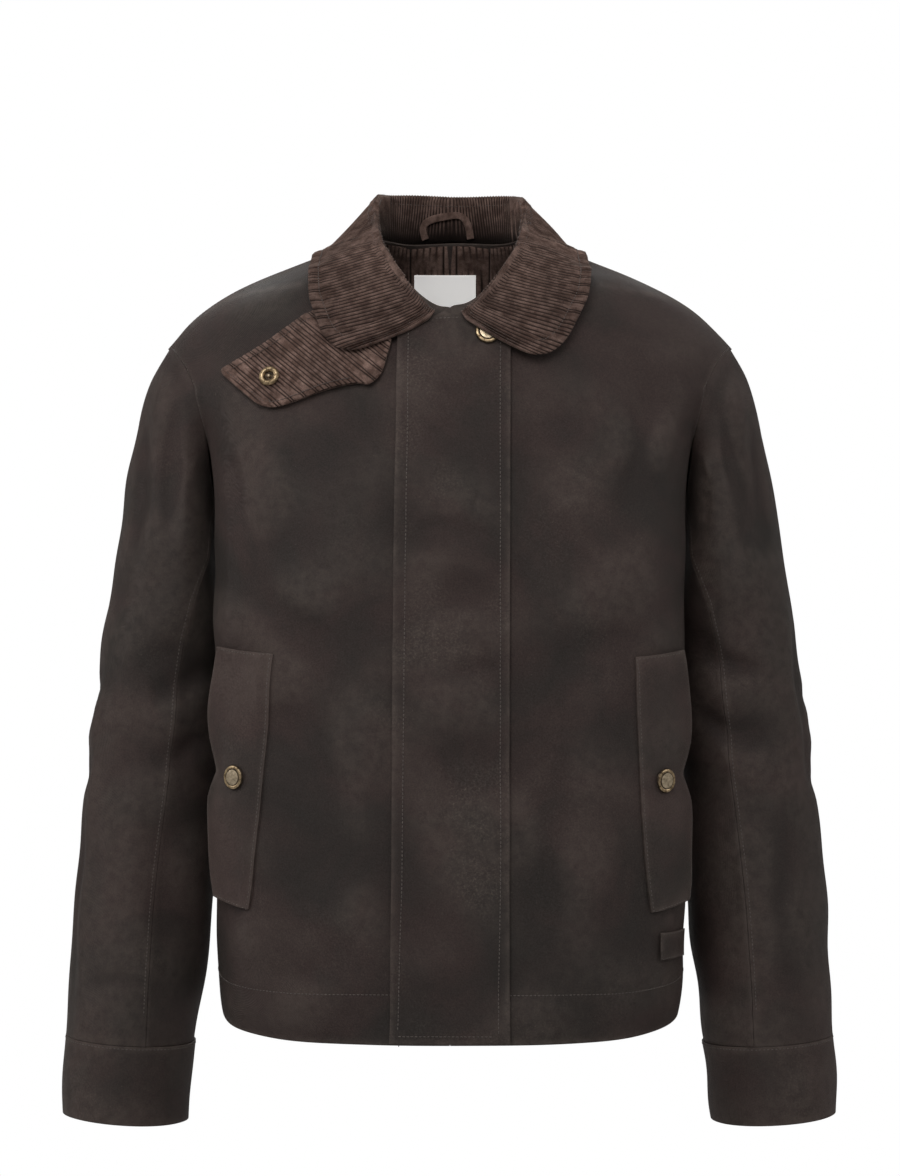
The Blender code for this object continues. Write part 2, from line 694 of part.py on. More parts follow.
def ring_point(angle, ring):
    level = SLEEVE.at(ring)
    outer = np.array([level["outer_x"], level["middle_y"], level["outer_z"]])
    inner = np.array([level["inner_x"], level["middle_y"], level["inner_z"]])
    turned = math.radians(angle)
    side = np.array([0.0, -level["half_depth"] * math.sin(turned), 0.0])
    return (outer + inner) / 2 + (outer - inner) / 2 * math.cos(turned) + side


def sleeve_point(angle, ring):
    """A point of the sleeve's outer cloth, which starts from the armhole seam."""
    point = ring_point(angle, ring)
    stray = SLEEVE.at(ring)["stray"]
    if stray > 0:
        turn, height = armhole(angle % 360)
        point = point + stray * (body(turn, height, SEAM_GAP) - ring_point(angle, 0))
        point = off_body(point, SEAM_GAP + ARMHOLE_LIFT * min(ring, 2))
    return point


def sleeve_fold(angle, ring):
    total = 0.0
    for at, half_width, first, last, height in SLEEVE_FOLDS:
        apart = (angle - at + 180) % 360 - 180
        total += height * math.exp(-((apart / half_width) ** 2)) * swell(ring, first, last)
    return total


def sleeve_angles(ring):
    """Angles of the columns: down the front seam, over the outside, and back under the arm."""
    seams = SLEEVE_SEAMS.at(ring)
    upper = np.linspace(seams["front"], seams["back"] - 360, UPPER_STEPS + 1)
    under = np.linspace(seams["back"], seams["front"], UNDER_STEPS + 1)[1:-1]
    return list(upper) + list(under)


def armhole_leans(grid, along):
    """Inward directions at the armhole, turned so that the sleeve's edge stays off the body's."""
    for column, angle in enumerate(sleeve_angles(0)):
        turn, height = armhole(angle % 360)
        run = body(*armhole((angle + 4) % 360)) - body(*armhole((angle - 4) % 360))
        into_body = np.cross(body_normal(turn, height), run)
        into_body /= np.linalg.norm(into_body)
        hole_middle = np.mean(grid[-1], axis=0)
        if np.dot(into_body, grid[-1, column] - hole_middle) < 0:
            into_body = -into_body
        inward = -along[-1, column]
        inward -= max(np.dot(inward, into_body), 0.0) * into_body
        along[-1, column] = -inward / np.linalg.norm(inward)
    return along


def make_sleeves():
    rings = range(CUFF_SEAM_RING, -1, -1)
    grid = np.array([[sleeve_point(angle, ring) for angle in sleeve_angles(ring)] for ring in rings])
    folds = np.array([[sleeve_fold(angle, ring) for angle in sleeve_angles(ring)] for ring in rings])
    grid = grid + normals_of(grid, closed=True) * folds[:, :, None]
    along = armhole_leans(grid, normals_of(grid, closed=True))
    ring_of_columns = list(range(grid.shape[1])) + [0]
    for name, columns in (
        ("sleeve_upper", ring_of_columns[: UPPER_STEPS + 1]),
        ("sleeve_under", ring_of_columns[UPPER_STEPS:]),
    ):
        sides = []
        for faces in (grid, grid - along * CLOTH):
            side = ease(faces[:, columns].copy(), ["first_row", "first_column", "last_column"])
            sides.append(ease(side, ["last_row"], ARMHOLE_GAP))
        cloth_wall(name + "_left", *sides)
        cloth_wall(name + "_right", *[mirrored(side) for side in sides])


def make_cuffs():
    angles = 90 - 360 * np.arange(CUFF_COLUMNS) / CUFF_COLUMNS
    grid = np.array([[ring_point(angle, ring) for angle in angles] for ring in CUFF_RINGS])
    along = normals_of(grid, closed=True)
    sides = [ease(face, ["last_row"]) for face in (grid.copy(), grid - along * CLOTH)]
    cloth_wall("cuff_left", *sides, closed=True)
    cloth_wall("cuff_right", *[mirrored(side) for side in sides], closed=True)


# ---- Corduroy

def ribbed(grid, along, ribs_from_row=0):
    """Raises every other column of a grid into a rib."""
    raised = grid.copy()
    raised[ribs_from_row:, 1::2] += along[ribs_from_row:, 1::2] * WALE_HEIGHT
    return raised


def collar_points(along, side):
    """The collar's face from the neck seam, over the roll, to the edge of the fall."""
    level = COLLAR.at(along)
    start = plain_body(*neck_seam(level["neck"]))
    roll = np.array([level["roll_x"], level["roll_y"], level["roll_z"]])
    edge = np.array([level["edge_x"], level["edge_y"], level["edge_z"]])
    ahead = ramp(along, FALL_TURNS)
    lift = FALL_LIFT[0] + (FALL_LIFT[1] - FALL_LIFT[0]) * ramp(along, FALL_RISES)
    if side > 0:
        share = ramp(along, LEFT_SHIFTS)
        roll = roll + share * LEFT_ROLL_SHIFT
        edge = edge + share * LEFT_EDGE_SHIFT
        lift += share * LEFT_SNAP_LIFT
    roll = off_body(roll, ROLL_LIFT * ahead, ahead)
    over_front = SEAM_GAP + (level["thick"] + STAND_LIFT) * ramp(along, STAND_RISES)
    start = off_body(start, over_front)
    up = roll - start
    stand = np.linalg.norm(up)
    up /= stand
    out = edge - roll
    out -= np.dot(out, up) * up
    out /= np.linalg.norm(out)
    radius = min(ROLL_RADIUS, 0.5 * stand)
    inner = roll - up * radius - out * radius
    foot = off_body(inner, over_front) if along > STAND_RISES[0] else inner
    points = [start + up * SEAM_GAP, foot, roll]
    for share in FALL_SHARES:
        arch = level["arch"] * math.sin(math.pi * share) * (up + out) / math.sqrt(2)
        points.append(off_body(roll + (edge - roll) * share + arch, lift, ahead))
    return [point * np.array([side, 1.0, 1.0]) for point in points]


def make_collar():
    fine = spread(COLLAR_SAMPLES)[::LENGTH_STEP]
    rings = [collar_points(along, -1) for along in fine]
    path = np.array([(ring[2] + ring[-1]) / 2 for ring in rings])
    steps = np.linalg.norm(np.diff(path, axis=0), axis=1)
    length = np.concatenate([[0.0], np.cumsum(steps)])
    half_columns = round(length[-1] / WALE * 2 / COLUMNS_PER_BACK) * COLUMNS_PER_BACK
    shares = np.interp(np.linspace(0, length[-1], half_columns + 1), length, fine)
    columns = [collar_points(along, -1) for along in shares[::-1]]
    columns += [collar_points(along, 1) for along in shares[1:]]
    grid = np.array(columns).transpose(1, 0, 2)
    thick = np.array([COLLAR.at(along)["thick"] for along in list(shares[::-1]) + list(shares[1:])])
    along = normals_of(grid)
    inner = (grid - along * thick[None, :, None])[:, ::COLUMNS_PER_BACK]
    wall("collar", ribbed(grid, along, 1), inner, (CORD, 0.85))
    print(f"collar: {half_columns} wales")


def inside_back(column, row, lift):
    """A point inside the back, at a place in its grid, this far in from its inner face."""
    rows, columns = BACK_FACE.shape[:2]
    from_top, across = min(int(row), rows - 2), min(int(abs(column)), columns - 2)
    v, u = row - from_top, abs(column) - across
    corners = []
    for grid in (BACK_FACE, BACK_INWARD):
        near, far = grid[-1 - from_top], grid[-2 - from_top]
        upper = near[across] * (1 - u) + near[across + 1] * u
        lower = far[across] * (1 - u) + far[across + 1] * u
        corners.append(upper * (1 - v) + lower * v)
    point = corners[0] + corners[1] * lift
    return point * np.array([-1.0 if column < 0 else 1.0, 1.0, 1.0])


def make_facing():
    columns = np.linspace(-FACING_CELLS, FACING_CELLS, FACING_WALES * 2 + 1)
    sides = []
    for lift in (LIFT + FACING_THICK, LIFT):
        rows = [[inside_back(column, row, lift) for column in columns] for row in FACING_ROWS]
        sides.append(np.array(rows))
    face, back = sides
    inward = (face - back) / np.linalg.norm(face - back, axis=2, keepdims=True)
    wall("back_neck_facing", ribbed(face, inward), back[:, ::COLUMNS_PER_BACK], (CORD, 0.85))


def make_label():
    """The label lies on the facing, as a rectangle."""
    under = LIFT + FACING_THICK + WALE_HEIGHT + SEAM_GAP
    cells = np.linspace(-FACING_CELLS, FACING_CELLS, 81)
    sides = []
    for lift in (under + THIN, under):
        rows = []
        for row in NECK_LABEL_ROWS:
            xs = [inside_back(cell, row, lift)[0] for cell in cells]
            places = np.interp(np.linspace(*NECK_LABEL_X, 7), xs, cells)
            rows.append([inside_back(cell, row, lift) for cell in places])
        sides.append(np.array(rows))
    wall("neck_label", *sides, (LABEL, 0.8))


def front_point(x, height, lift):
    """A point over a front, at this x."""
    point = body(front_turn(x, height), height, lift)
    return np.array([math.copysign(point[0], x), point[1], point[2]])


def make_tab():
    columns = TAB_RIBS * 2 + 1
    sides = []
    for lift in (LIFT + CORDUROY, LIFT):
        grid = np.zeros((TAB_ROWS, columns, 3))
        for column, across in enumerate(np.linspace(TAB.values[0, 0], TAB.values[-1, 0], columns)):
            ends = TAB.at(across)
            for row, share in enumerate(spread(TAB_ROWS)):
                down = ends["lower"] + (ends["upper"] - ends["lower"]) * share
                x = across * math.sin(TAB_SLOPE) + down * math.cos(TAB_SLOPE)
                height = across * math.cos(TAB_SLOPE) - down * math.sin(TAB_SLOPE)
                grid[row, column] = front_point(x, height, lift)
        sides.append(grid)
    face, back = sides
    out = (face - back) / np.linalg.norm(face - back, axis=2, keepdims=True)
    wall("throat_tab", ribbed(face, out), back[:, ::COLUMNS_PER_BACK], (CORD, 0.85))


def stand_point(along, height):
    """A point of the collar's stand, at this height."""
    foot, top = collar_points(along, 1)[:2]
    return foot + (top - foot) * ((height - foot[2]) / (top[2] - foot[2]))


def over_stand(x, height, lift):
    """A point in front of the collar's stand, at this x and height."""
    along = crossing(lambda share: stand_point(share, height)[0], abs(x), 0.0, STAND_BACK)
    return np.array([x, stand_point(along, height)[1] - lift, height])


def make_hanger():
    path = np.array(HANGER)
    run = np.gradient(path, axis=0)
    run /= np.linalg.norm(run, axis=1, keepdims=True)
    aside = np.stack([-run[:, 1], run[:, 0]], axis=1) * HANGER_HALF_WIDTH
    sides = []
    for lift in (HANGER_LIFT + HANGER_THICK, HANGER_LIFT):
        rows = [[over_stand(x, height, lift) for x, height in edge] for edge in (path - aside, path + aside)]
        sides.append(np.array(rows))
    wall("hanger_loop", *sides, (CORD, 0.85))


# ---- What lies on the fronts

def flap_top(x):
    """The flap's top edge follows the neck seam, and drops clear of the collar beside its ends."""
    angle = math.degrees(math.asin(min(abs(x) / NECK_HALF_WIDTH, 1.0)))
    return neck_seam(angle)[1] - FLAP_BELOW_SEAM - FLAP_END_DROP * ramp(abs(x), FLAP_DROP_X)


def make_flap():
    sides = []
    heights = (FLAP_END, *HEM_HEIGHTS[1:], *FLAP_YOKE)
    levels = [(height - FLAP_END) / (FLAP_TOP - FLAP_END) for height in heights]
    for lift in (FLAP_LIFT + FLAP_THICK, FLAP_LIFT):
        grid = np.zeros((len(levels), FLAP_COLUMNS, 3))
        for row, rise in enumerate(levels):
            for column, share in enumerate(spread(FLAP_COLUMNS)):
                width = FLAP.at(FLAP_END + (FLAP_TOP - FLAP_END) * rise)
                x = width["right_x"] + (width["left_x"] - width["right_x"]) * share
                height = FLAP_END + (flap_top(x) - FLAP_END) * rise
                grid[row, column] = front_point(x, height, lift)
        sides.append(grid)
    cloth_wall("storm_flap", *sides)


def reaching_turn(x, height, lift):
    """The turn at which a layer this far above the cloth reaches x."""
    return crossing(lambda turn: body(turn, height, lift)[0], x, 0.5, WELT_LAST_TURN)


def welt_point(height, share, side, lift):
    """A point of a pocket welt, from its sewn edge (0) to its free edge (1)."""
    level = WELT.at(height)
    foot, top = WELT.values[0, 0], WELT.values[-1, 0]
    lean = WELT_LEAN[side] * ((height - foot) / (top - foot)) ** 2
    sewn = front_turn(level["sewn_x"] + lean, height)
    free_lift = LIFT + WELT_THICK + level["stand_off"]
    free = reaching_turn(level["free_x"], height, free_lift)
    turn = sewn + (free - sewn) * share
    at = height + level["rise"] * share - WELT_DROP[side]
    return body(turn, at, lift + level["stand_off"] * share * share) * np.array([side, 1.0, 1.0])


def make_welts():
    for name, side in (("left", 1), ("right", -1)):
        sides = []
        for lift in (LIFT + WELT_THICK, LIFT):
            shares = spread(WELT_COLUMNS)
            heights = WELT.values[:, 0]
            rows = [[welt_point(height, share, side, lift) for share in shares] for height in heights]
            sides.append(np.array(rows))
        cloth_wall("pocket_welt_" + name, *sides)


def welt_share(x, height, side, lift):
    """How far across a welt x is."""
    return crossing(lambda share: abs(welt_point(height, share, side, lift)[0]), x, 0.0, 1.0)


def make_patch():
    sides = []
    for lift in (LIFT + THIN, LIFT):
        rows = [[front_point(x, height, lift) for x in np.linspace(*PATCH_X, 5)] for height in PATCH_HEIGHT]
        sides.append(np.array(rows))
    wall("hem_patch", *sides, (WAXED, 0.5))


# ---- Snaps

def turned(name, section, centre, out):
    """A turned metal part that stands on a surface at this point."""
    out = out / np.linalg.norm(out)
    aside = np.cross(out, np.array([0.0, 0.0, 1.0]))
    aside /= np.linalg.norm(aside)
    up = np.cross(aside, out)
    points, faces = [centre + out * section[0][1], centre + out * section[-1][1]], []
    rings = section[1:-1]
    for radius, height in rings:
        for step in range(SNAP_SIDES):
            angle = 2 * math.pi * step / SNAP_SIDES
            points.append(centre + out * height + radius * (aside * math.cos(angle) + up * math.sin(angle)))
    for step in range(SNAP_SIDES):
        beside = (step + 1) % SNAP_SIDES
        for ring in range(len(rings) - 1):
            low = 2 + ring * SNAP_SIDES
            faces.append((low + step, low + beside, low + SNAP_SIDES + beside, low + SNAP_SIDES + step))
        last = 2 + (len(rings) - 1) * SNAP_SIDES
        faces.append((0, 2 + beside, 2 + step))
        faces.append((1, last + step, last + beside))
    piece(name, points, faces, (BRASS, 0.35, 1.0))


def make_snaps():
    x, height = FLAP_SNAP
    top = front_point(x, height, FLAP_LIFT + FLAP_THICK + SEAM_GAP)
    turned("snap_flap", CAP_SECTION, top, top - front_point(x, height, 0.0))
    for name, side in (("left", 1), ("right", -1)):
        x, height = WELT_SNAP
        lift = LIFT + WELT_THICK + SEAM_GAP
        share = welt_share(x, height, side, lift)
        top = welt_point(height, share, side, lift)
        turned("snap_pocket_" + name, CAP_SECTION, top, top - welt_point(height, share, side, 0.0))
    x, height = TAB_SNAP
    top = front_point(x, height, LIFT + CORDUROY + WALE_HEIGHT + SEAM_GAP)
    turned("snap_tab", SOCKET_SECTION, top, top - front_point(x, height, 0.0))


# ---- Build

for old in list(bpy.data.objects):
    bpy.data.objects.remove(old)

make_fronts()
make_back()
make_sleeves()
make_cuffs()
make_collar()
make_facing()
make_label()
make_hanger()
make_flap()
make_welts()
make_patch()
make_tab()
make_snaps()
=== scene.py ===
# %% [markdown]
# # A waxed cotton jacket with a corduroy collar
# The jacket is thin cloth all over: waxed cotton panels, a corduroy collar and tab, and a few brass
# press studs. The frame holds each panel as a plain wall in its true place. Here every wall becomes
# cloth: smoothed, creased, stitched and given its finish.

# %% Load the frame
import itertools
import json
import math
import random

import bmesh
import bpy
import numpy as np
from mathutils import Matrix, Vector
from mathutils.bvhtree import BVHTree
from mathutils.kdtree import KDTree

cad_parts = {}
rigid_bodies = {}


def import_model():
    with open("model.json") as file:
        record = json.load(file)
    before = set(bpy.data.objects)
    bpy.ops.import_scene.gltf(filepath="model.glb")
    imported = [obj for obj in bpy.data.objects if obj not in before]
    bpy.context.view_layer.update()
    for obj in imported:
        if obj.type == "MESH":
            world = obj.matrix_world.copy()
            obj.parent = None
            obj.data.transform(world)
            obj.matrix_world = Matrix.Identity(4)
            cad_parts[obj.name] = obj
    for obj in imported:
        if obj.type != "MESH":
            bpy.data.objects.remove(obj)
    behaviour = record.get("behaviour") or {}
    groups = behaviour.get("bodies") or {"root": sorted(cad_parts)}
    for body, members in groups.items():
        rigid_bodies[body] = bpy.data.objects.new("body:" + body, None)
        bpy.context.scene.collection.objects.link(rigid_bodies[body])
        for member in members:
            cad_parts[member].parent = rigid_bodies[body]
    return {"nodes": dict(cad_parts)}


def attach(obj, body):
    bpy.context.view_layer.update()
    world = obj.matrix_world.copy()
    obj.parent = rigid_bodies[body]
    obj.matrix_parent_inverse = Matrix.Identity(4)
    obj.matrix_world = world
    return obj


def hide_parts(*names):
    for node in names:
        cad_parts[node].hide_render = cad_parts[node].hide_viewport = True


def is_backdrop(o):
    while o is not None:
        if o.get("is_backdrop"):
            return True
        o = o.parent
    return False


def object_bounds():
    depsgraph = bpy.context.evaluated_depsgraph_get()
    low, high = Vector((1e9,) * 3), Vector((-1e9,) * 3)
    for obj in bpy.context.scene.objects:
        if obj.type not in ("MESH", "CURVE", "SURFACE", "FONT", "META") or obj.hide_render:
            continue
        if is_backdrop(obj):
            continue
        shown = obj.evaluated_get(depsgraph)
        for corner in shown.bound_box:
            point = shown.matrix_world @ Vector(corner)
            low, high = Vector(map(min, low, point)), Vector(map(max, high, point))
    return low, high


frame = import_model()
cad_box = [list(corner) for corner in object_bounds()]
nodes = frame["nodes"]
print("panels in the frame:", ", ".join(sorted(nodes)))

# %% [markdown]
# ## Working by hand, in code
# Blender's tools act on what is selected, so each step starts by selecting one piece alone.
# These small helpers see to that.

# %% Selecting a piece
def new_object(name, data):
    made = bpy.data.objects.new(name, data)
    bpy.context.scene.collection.objects.link(made)
    return made


def select_only(piece):
    bpy.ops.object.select_all(action="DESELECT")
    piece.select_set(True)
    bpy.context.view_layer.objects.active = piece


def open_piece(piece, start="SELECT"):
    """Starts edit mode with everything selected, or nothing."""
    select_only(piece)
    bpy.ops.object.mode_set(mode="EDIT")
    bpy.ops.mesh.select_all(action=start)


def close_piece():
    bpy.ops.object.mode_set(mode="OBJECT")


def apply_modifier(piece, kind, **settings):
    select_only(piece)
    modifier = piece.modifiers.new(kind.lower(), kind)
    for name, value in settings.items():
        setattr(modifier, name, value)
    bpy.ops.object.modifier_apply(modifier=modifier.name)


def points_of(piece):
    points = np.empty(len(piece.data.vertices) * 3)
    piece.data.vertices.foreach_get("co", points)
    return points.reshape(-1, 3)


def move_points(piece, points):
    piece.data.vertices.foreach_set("co", points.ravel())
    piece.data.update()


def mark_points(piece, name, values):
    """Gives each point a number, which a finish can read."""
    piece.data.attributes.new(name, "FLOAT", "POINT").data.foreach_set("value", values)


# %% [markdown]
# ## Camera
# The jacket is seen level from the front through a long lens. Its angle is narrow, so the camera
# stands back and the jacket hardly tapers. Depth of field stays off, so that all of it is sharp.

# %% Camera
EYE = (0.0, -2.275, -0.267)
LENS = 89.8  # millimetres
SENSOR = 36.0  # its height

camera_data = bpy.data.cameras.new("camera")
camera_data.sensor_fit = "VERTICAL"
camera_data.sensor_height = SENSOR
camera_data.lens = LENS
camera = new_object("camera", camera_data)
camera.location = EYE
camera.rotation_euler = (math.radians(90), 0.0, 0.0)
bpy.context.scene.camera = camera
print("camera at", EYE, "with a lens of", LENS, "mm")

# %% [markdown]
# ## Floor and backdrop
# A studio cove is one sheet whose floor curves up into the wall, so no line shows behind the
# garment. It is a disc whose rim is extruded up a quarter circle in small steps, all round.

# %% Cove
FLOOR_HEIGHT = -0.86
FLOOR_RADIUS = 4.2
COVE_RADIUS = 1.6
COVE_STEPS = 10
COVE_SIDES = 96
WALL_HEIGHT = 3.0

bpy.ops.mesh.primitive_circle_add(
    vertices=COVE_SIDES, radius=FLOOR_RADIUS, fill_type="NGON", location=(0, 0, FLOOR_HEIGHT)
)
cove = bpy.context.object
cove.name = "studio_cove"
bpy.ops.object.transform_apply(location=True)
open_piece(cove)
bpy.ops.mesh.select_mode(type="EDGE")
bpy.ops.mesh.region_to_loop()
radius = FLOOR_RADIUS
for step in range(1, COVE_STEPS + 1):
    turn, before = (math.pi / 2 * s / COVE_STEPS for s in (step, step - 1))
    rise = COVE_RADIUS * (math.cos(before) - math.cos(turn))
    wider = FLOOR_RADIUS + COVE_RADIUS * math.sin(turn)
    bpy.ops.mesh.extrude_edges_move(TRANSFORM_OT_translate={"value": (0, 0, rise)})
    bpy.ops.transform.resize(value=(wider / radius, wider / radius, 1))
    radius = wider
bpy.ops.mesh.extrude_edges_move(TRANSFORM_OT_translate={"value": (0, 0, WALL_HEIGHT)})
bpy.ops.mesh.select_all(action="SELECT")
bpy.ops.mesh.normals_make_consistent(inside=True)
close_piece()
bpy.ops.object.shade_smooth()
cove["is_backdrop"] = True
print("cove:", len(cove.data.polygons), "faces, its wall", round(radius, 2), "m away")

# %% [markdown]
# ## Soft studio light
# Waxed cloth is dark with a low shine, so it needs large soft lights: one near in front and above
# the collar, which reaches inside the neck and fades towards the hem, one farther off and higher,
# one at each side that draws a pale line down the sleeve, one behind, and an even pale sky. The
# camera doesn't see the lamps themselves.

# %% Lights
LIGHTS = {  # place, size across in metres, power in watts
    "front": ((-0.2, -1.7, 0.95), 1.3, 17.0),
    "high_front": ((-0.9, -2.4, 2.0), 1.8, 12.0),
    "left_side": ((2.6, -0.6, 0.7), 1.4, 13.0),
    "right_side": ((-2.6, -0.6, 0.7), 1.4, 17.0),
    "back": ((0.0, 3.0, 1.6), 2.4, 24.0),
}
AIM = Vector((0.0, -0.08, -0.3))
SKY = (1.0, 0.97, 0.94, 1.0)
SKY_STRENGTH = 0.40

for lamp_name, (place, size, power) in LIGHTS.items():
    data = bpy.data.lights.new(lamp_name, "AREA")
    data.size = size
    data.energy = power
    lamp = new_object(lamp_name, data)
    lamp.location = place
    lamp.rotation_euler = (AIM - Vector(place)).to_track_quat("-Z", "Y").to_euler()
    lamp.visible_camera = False
sky = bpy.data.worlds.new("sky")
bpy.context.scene.world = sky
sky.use_nodes = True
background = sky.node_tree.nodes["Background"].inputs
background["Color"].default_value = SKY
background["Strength"].default_value = SKY_STRENGTH
bpy.context.scene.view_settings.view_transform = "Standard"
print(len(LIGHTS), "soft lights and a pale sky")

# %% [markdown]
# ## Finishes
# A finish is a Principled shader with a few textures in front of it. All of them read Object
# coordinates, in metres, so a pattern has its real size and runs on from panel to panel. These
# helpers add a node and join it up.

# %% Helpers for finishes
def feed(made, inputs):
    """Gives each of a node's sockets a value, or another node's output."""
    for socket, value in inputs.items():
        if isinstance(value, bpy.types.NodeSocket):
            made.id_data.links.new(value, made.inputs[socket])
        else:
            made.inputs[socket].default_value = value
    return made


def new_finish(name, inputs):
    """A new material, its nodes and its shader."""
    material = bpy.data.materials.new(name)
    material.use_nodes = True
    tree = material.node_tree
    return material, tree, feed(tree.nodes["Principled BSDF"], inputs)


def add_node(tree, kind, inputs=(), **settings):
    made = tree.nodes.new("ShaderNode" + kind)
    for name, value in settings.items():
        setattr(made, name, value)
    return feed(made, dict(inputs))


def reckon(operation, first, second, clamp=False):
    """first is always another node's output, and says which finish the sum is in."""
    settings = {"operation": operation, "use_clamp": clamp}
    return add_node(first.id_data, "Math", {0: first, 1: second}, **settings).outputs[0]


def times(first, second):
    return reckon("MULTIPLY", first, second)


def plus(first, second, clamp=False):
    return reckon("ADD", first, second, clamp)


def ramp(value, stops):
    """Turns a number into a colour, by stops of (place, colour)."""
    made = add_node(value.id_data, "ValToRGB", {"Fac": value})
    band = made.color_ramp
    while len(band.elements) < len(stops):
        band.elements.new(0.5)
    for element, (place, colour) in zip(band.elements, stops):
        element.position = place
        element.color = (*colour, 1.0)
    return made.outputs[0]


def fade(value, low, high, dark=0, light=1):
    """A grey from dark to light, as the value goes from low to high."""
    return ramp(value, [(low, (dark, dark, dark)), (high, (light, light, light))])


def blend(share, first, second, how="MIX"):
    """A blend of two colours. share says how much of the second."""
    given = [value for value in (share, first) if isinstance(value, bpy.types.NodeSocket)]
    inputs = {0: share, 6: first, 7: second}
    settings = {"data_type": "RGBA", "blend_type": how}
    return add_node(given[0].id_data, "Mix", inputs, **settings).outputs[2]


def tint(colour, other):
    return blend(1.0, colour, other, "MULTIPLY")


def object_place(tree):
    return add_node(tree, "TexCoord").outputs["Object"]


def noise(tree, scale, detail=3.0, roughness=0.5, stretch=(1, 1, 1), kind="FBM", warp=0.0):
    mapping = add_node(tree, "Mapping", {"Vector": object_place(tree), "Scale": stretch})
    inputs = {"Vector": mapping.outputs[0], "Scale": scale, "Detail": detail}
    inputs |= {"Roughness": roughness, "Distortion": warp}
    return add_node(tree, "TexNoise", inputs, noise_type=kind).outputs[0]


def bump(height, distance):
    made = add_node(height.id_data, "Bump", {"Height": height, "Distance": distance})
    return made.outputs[0]


# %% [markdown]
# ## An even backdrop
# A photographer lights the backdrop apart from the garment until it is evenly pale. Here the cove
# is matt grey for the light that it throws back, and evenly bright to the camera.

# %% Backdrop
BACKDROP = 1.0
MATT_GREY = (0.5, 0.5, 0.5, 1)
backdrop, tree, matt = new_finish("backdrop", {"Roughness": 1.0, "Base Color": MATT_GREY})
glow = add_node(tree, "Emission", {"Strength": BACKDROP})
to_camera = add_node(tree, "LightPath").outputs["Is Camera Ray"]
either = add_node(tree, "MixShader", {0: to_camera, 1: matt.outputs[0], 2: glow.outputs[0]})
feed(tree.nodes["Material Output"], {"Surface": either.outputs[0]})
cove.data.materials.append(backdrop)
print("backdrop at", BACKDROP)

# %% [markdown]
# ## Waxed cotton
# Waxed cotton is a tight plain weave soaked in wax. The wax dries in clouds, from olive to red
# brown, and it cracks pale wherever the cloth is rubbed: along seams, edges and folds. So the
# colour is a slow noise through a ramp, a ridged noise adds the fine scuffs, and an attribute of
# the mesh, "worn", says where seams and ridges are.

# %% Waxed cotton
OLIVE = (0.0225, 0.0180, 0.0155)
BROWN = (0.0310, 0.0222, 0.0195)
RED_BROWN = (0.0410, 0.0268, 0.0240)
DRY = (0.0520, 0.0370, 0.0325)
SCUFF = (0.125, 0.098, 0.084)
WEAVE = 0.0009  # metres from thread to thread


def weave_height(tree):
    """Two sets of fine bands, one crossing the other; the first runs round the body."""
    split = add_node(tree, "SeparateXYZ", {0: object_place(tree)}).outputs
    turns = [times(along, 2 * math.pi / WEAVE) for along in (plus(split[0], split[1]), split[2])]
    return times(*[reckon("SINE", turn, 0.0) for turn in turns])


def waxed_cotton(name, rubbing=0.30, tone=1.0):
    material, tree, shader = new_finish(name, {
        "Sheen Weight": 0.04, "Sheen Roughness": 0.4, "Sheen Tint": (0.75, 0.68, 0.62, 1),
        "Specular IOR Level": 0.21,
    })
    clouds = noise(tree, 13.0, 5.0, 0.60, warp=0.5)
    tones = [(0.32, OLIVE), (0.47, BROWN), (0.58, RED_BROWN), (0.72, DRY)]
    tones = [(place, tuple(channel * tone for channel in colour)) for place, colour in tones]
    threads = noise(tree, 900.0, 2.0, 0.6)
    cloth = tint(ramp(clouds, tones), fade(threads, 0.3, 0.7, 0.74, 1.28))

    scraped = fade(noise(tree, 17.0, 3.0, 0.5), 0.50, 0.66, 0, rubbing)
    ridges = noise(tree, 30.0, 6.0, 0.66, kind="RIDGED_MULTIFRACTAL", warp=0.3)
    scuffs = times(fade(ridges, 0.5, 1.0), scraped)
    specks = noise(tree, 620.0, 3.0, 0.75)
    flecks = times(fade(specks, 0.46, 0.70, 0, 0.7), scraped)
    stray = fade(specks, 0.68, 0.74, 0, 0.45)
    worn = add_node(tree, "Attribute", attribute_name="worn").outputs["Fac"]
    broken = fade(noise(tree, 140.0, 4.0, 0.6), 0.34, 0.62, 0.35)
    rubbed = times(times(worn, broken), 0.50)
    share = plus(plus(scuffs, flecks), plus(rubbed, stray), clamp=True)

    height = plus(times(noise(tree, 55.0, 5.0, 0.55), 9.0), weave_height(tree))
    feed(shader, {
        "Base Color": blend(share, cloth, (*SCUFF, 1)),
        "Roughness": fade(clouds, 0.3, 0.7, 0.46, 0.62),
        "Normal": bump(plus(height, times(threads, 1.2)), 0.00011),
    })
    return material


waxed = waxed_cotton("waxed_cotton")
waxed_flap = waxed_cotton("waxed_cotton_rubbed", 0.60)
# a lighter copy of the waxed cotton, for the pocket welts
waxed_welt = waxed_cotton("waxed_cotton_lighter", 0.35, 1.35)
print("waxed cotton:", len(waxed.node_tree.nodes), "nodes")

# %% [markdown]
# ## Corduroy
# Corduroy is velvet in ribs: tufts of cut pile stand up along each rib, and bare ground shows in
# between. The ribs themselves are modelled. The finish makes the grooves much darker, by the
# attribute "rib": partly the bare ground, partly painted shade in the grooves. It also breaks the
# pile into tufts, and adds the velvet's glow at a glancing angle, called sheen.

# %% Corduroy
# the grooves' colour: bare ground, darkened further by painted shade
GROUND_WITH_SHADE = (0.0120, 0.0066, 0.0052)
PILE = (0.0720, 0.0430, 0.0340)
PILE_LIGHT = (0.1800, 0.1180, 0.0980)


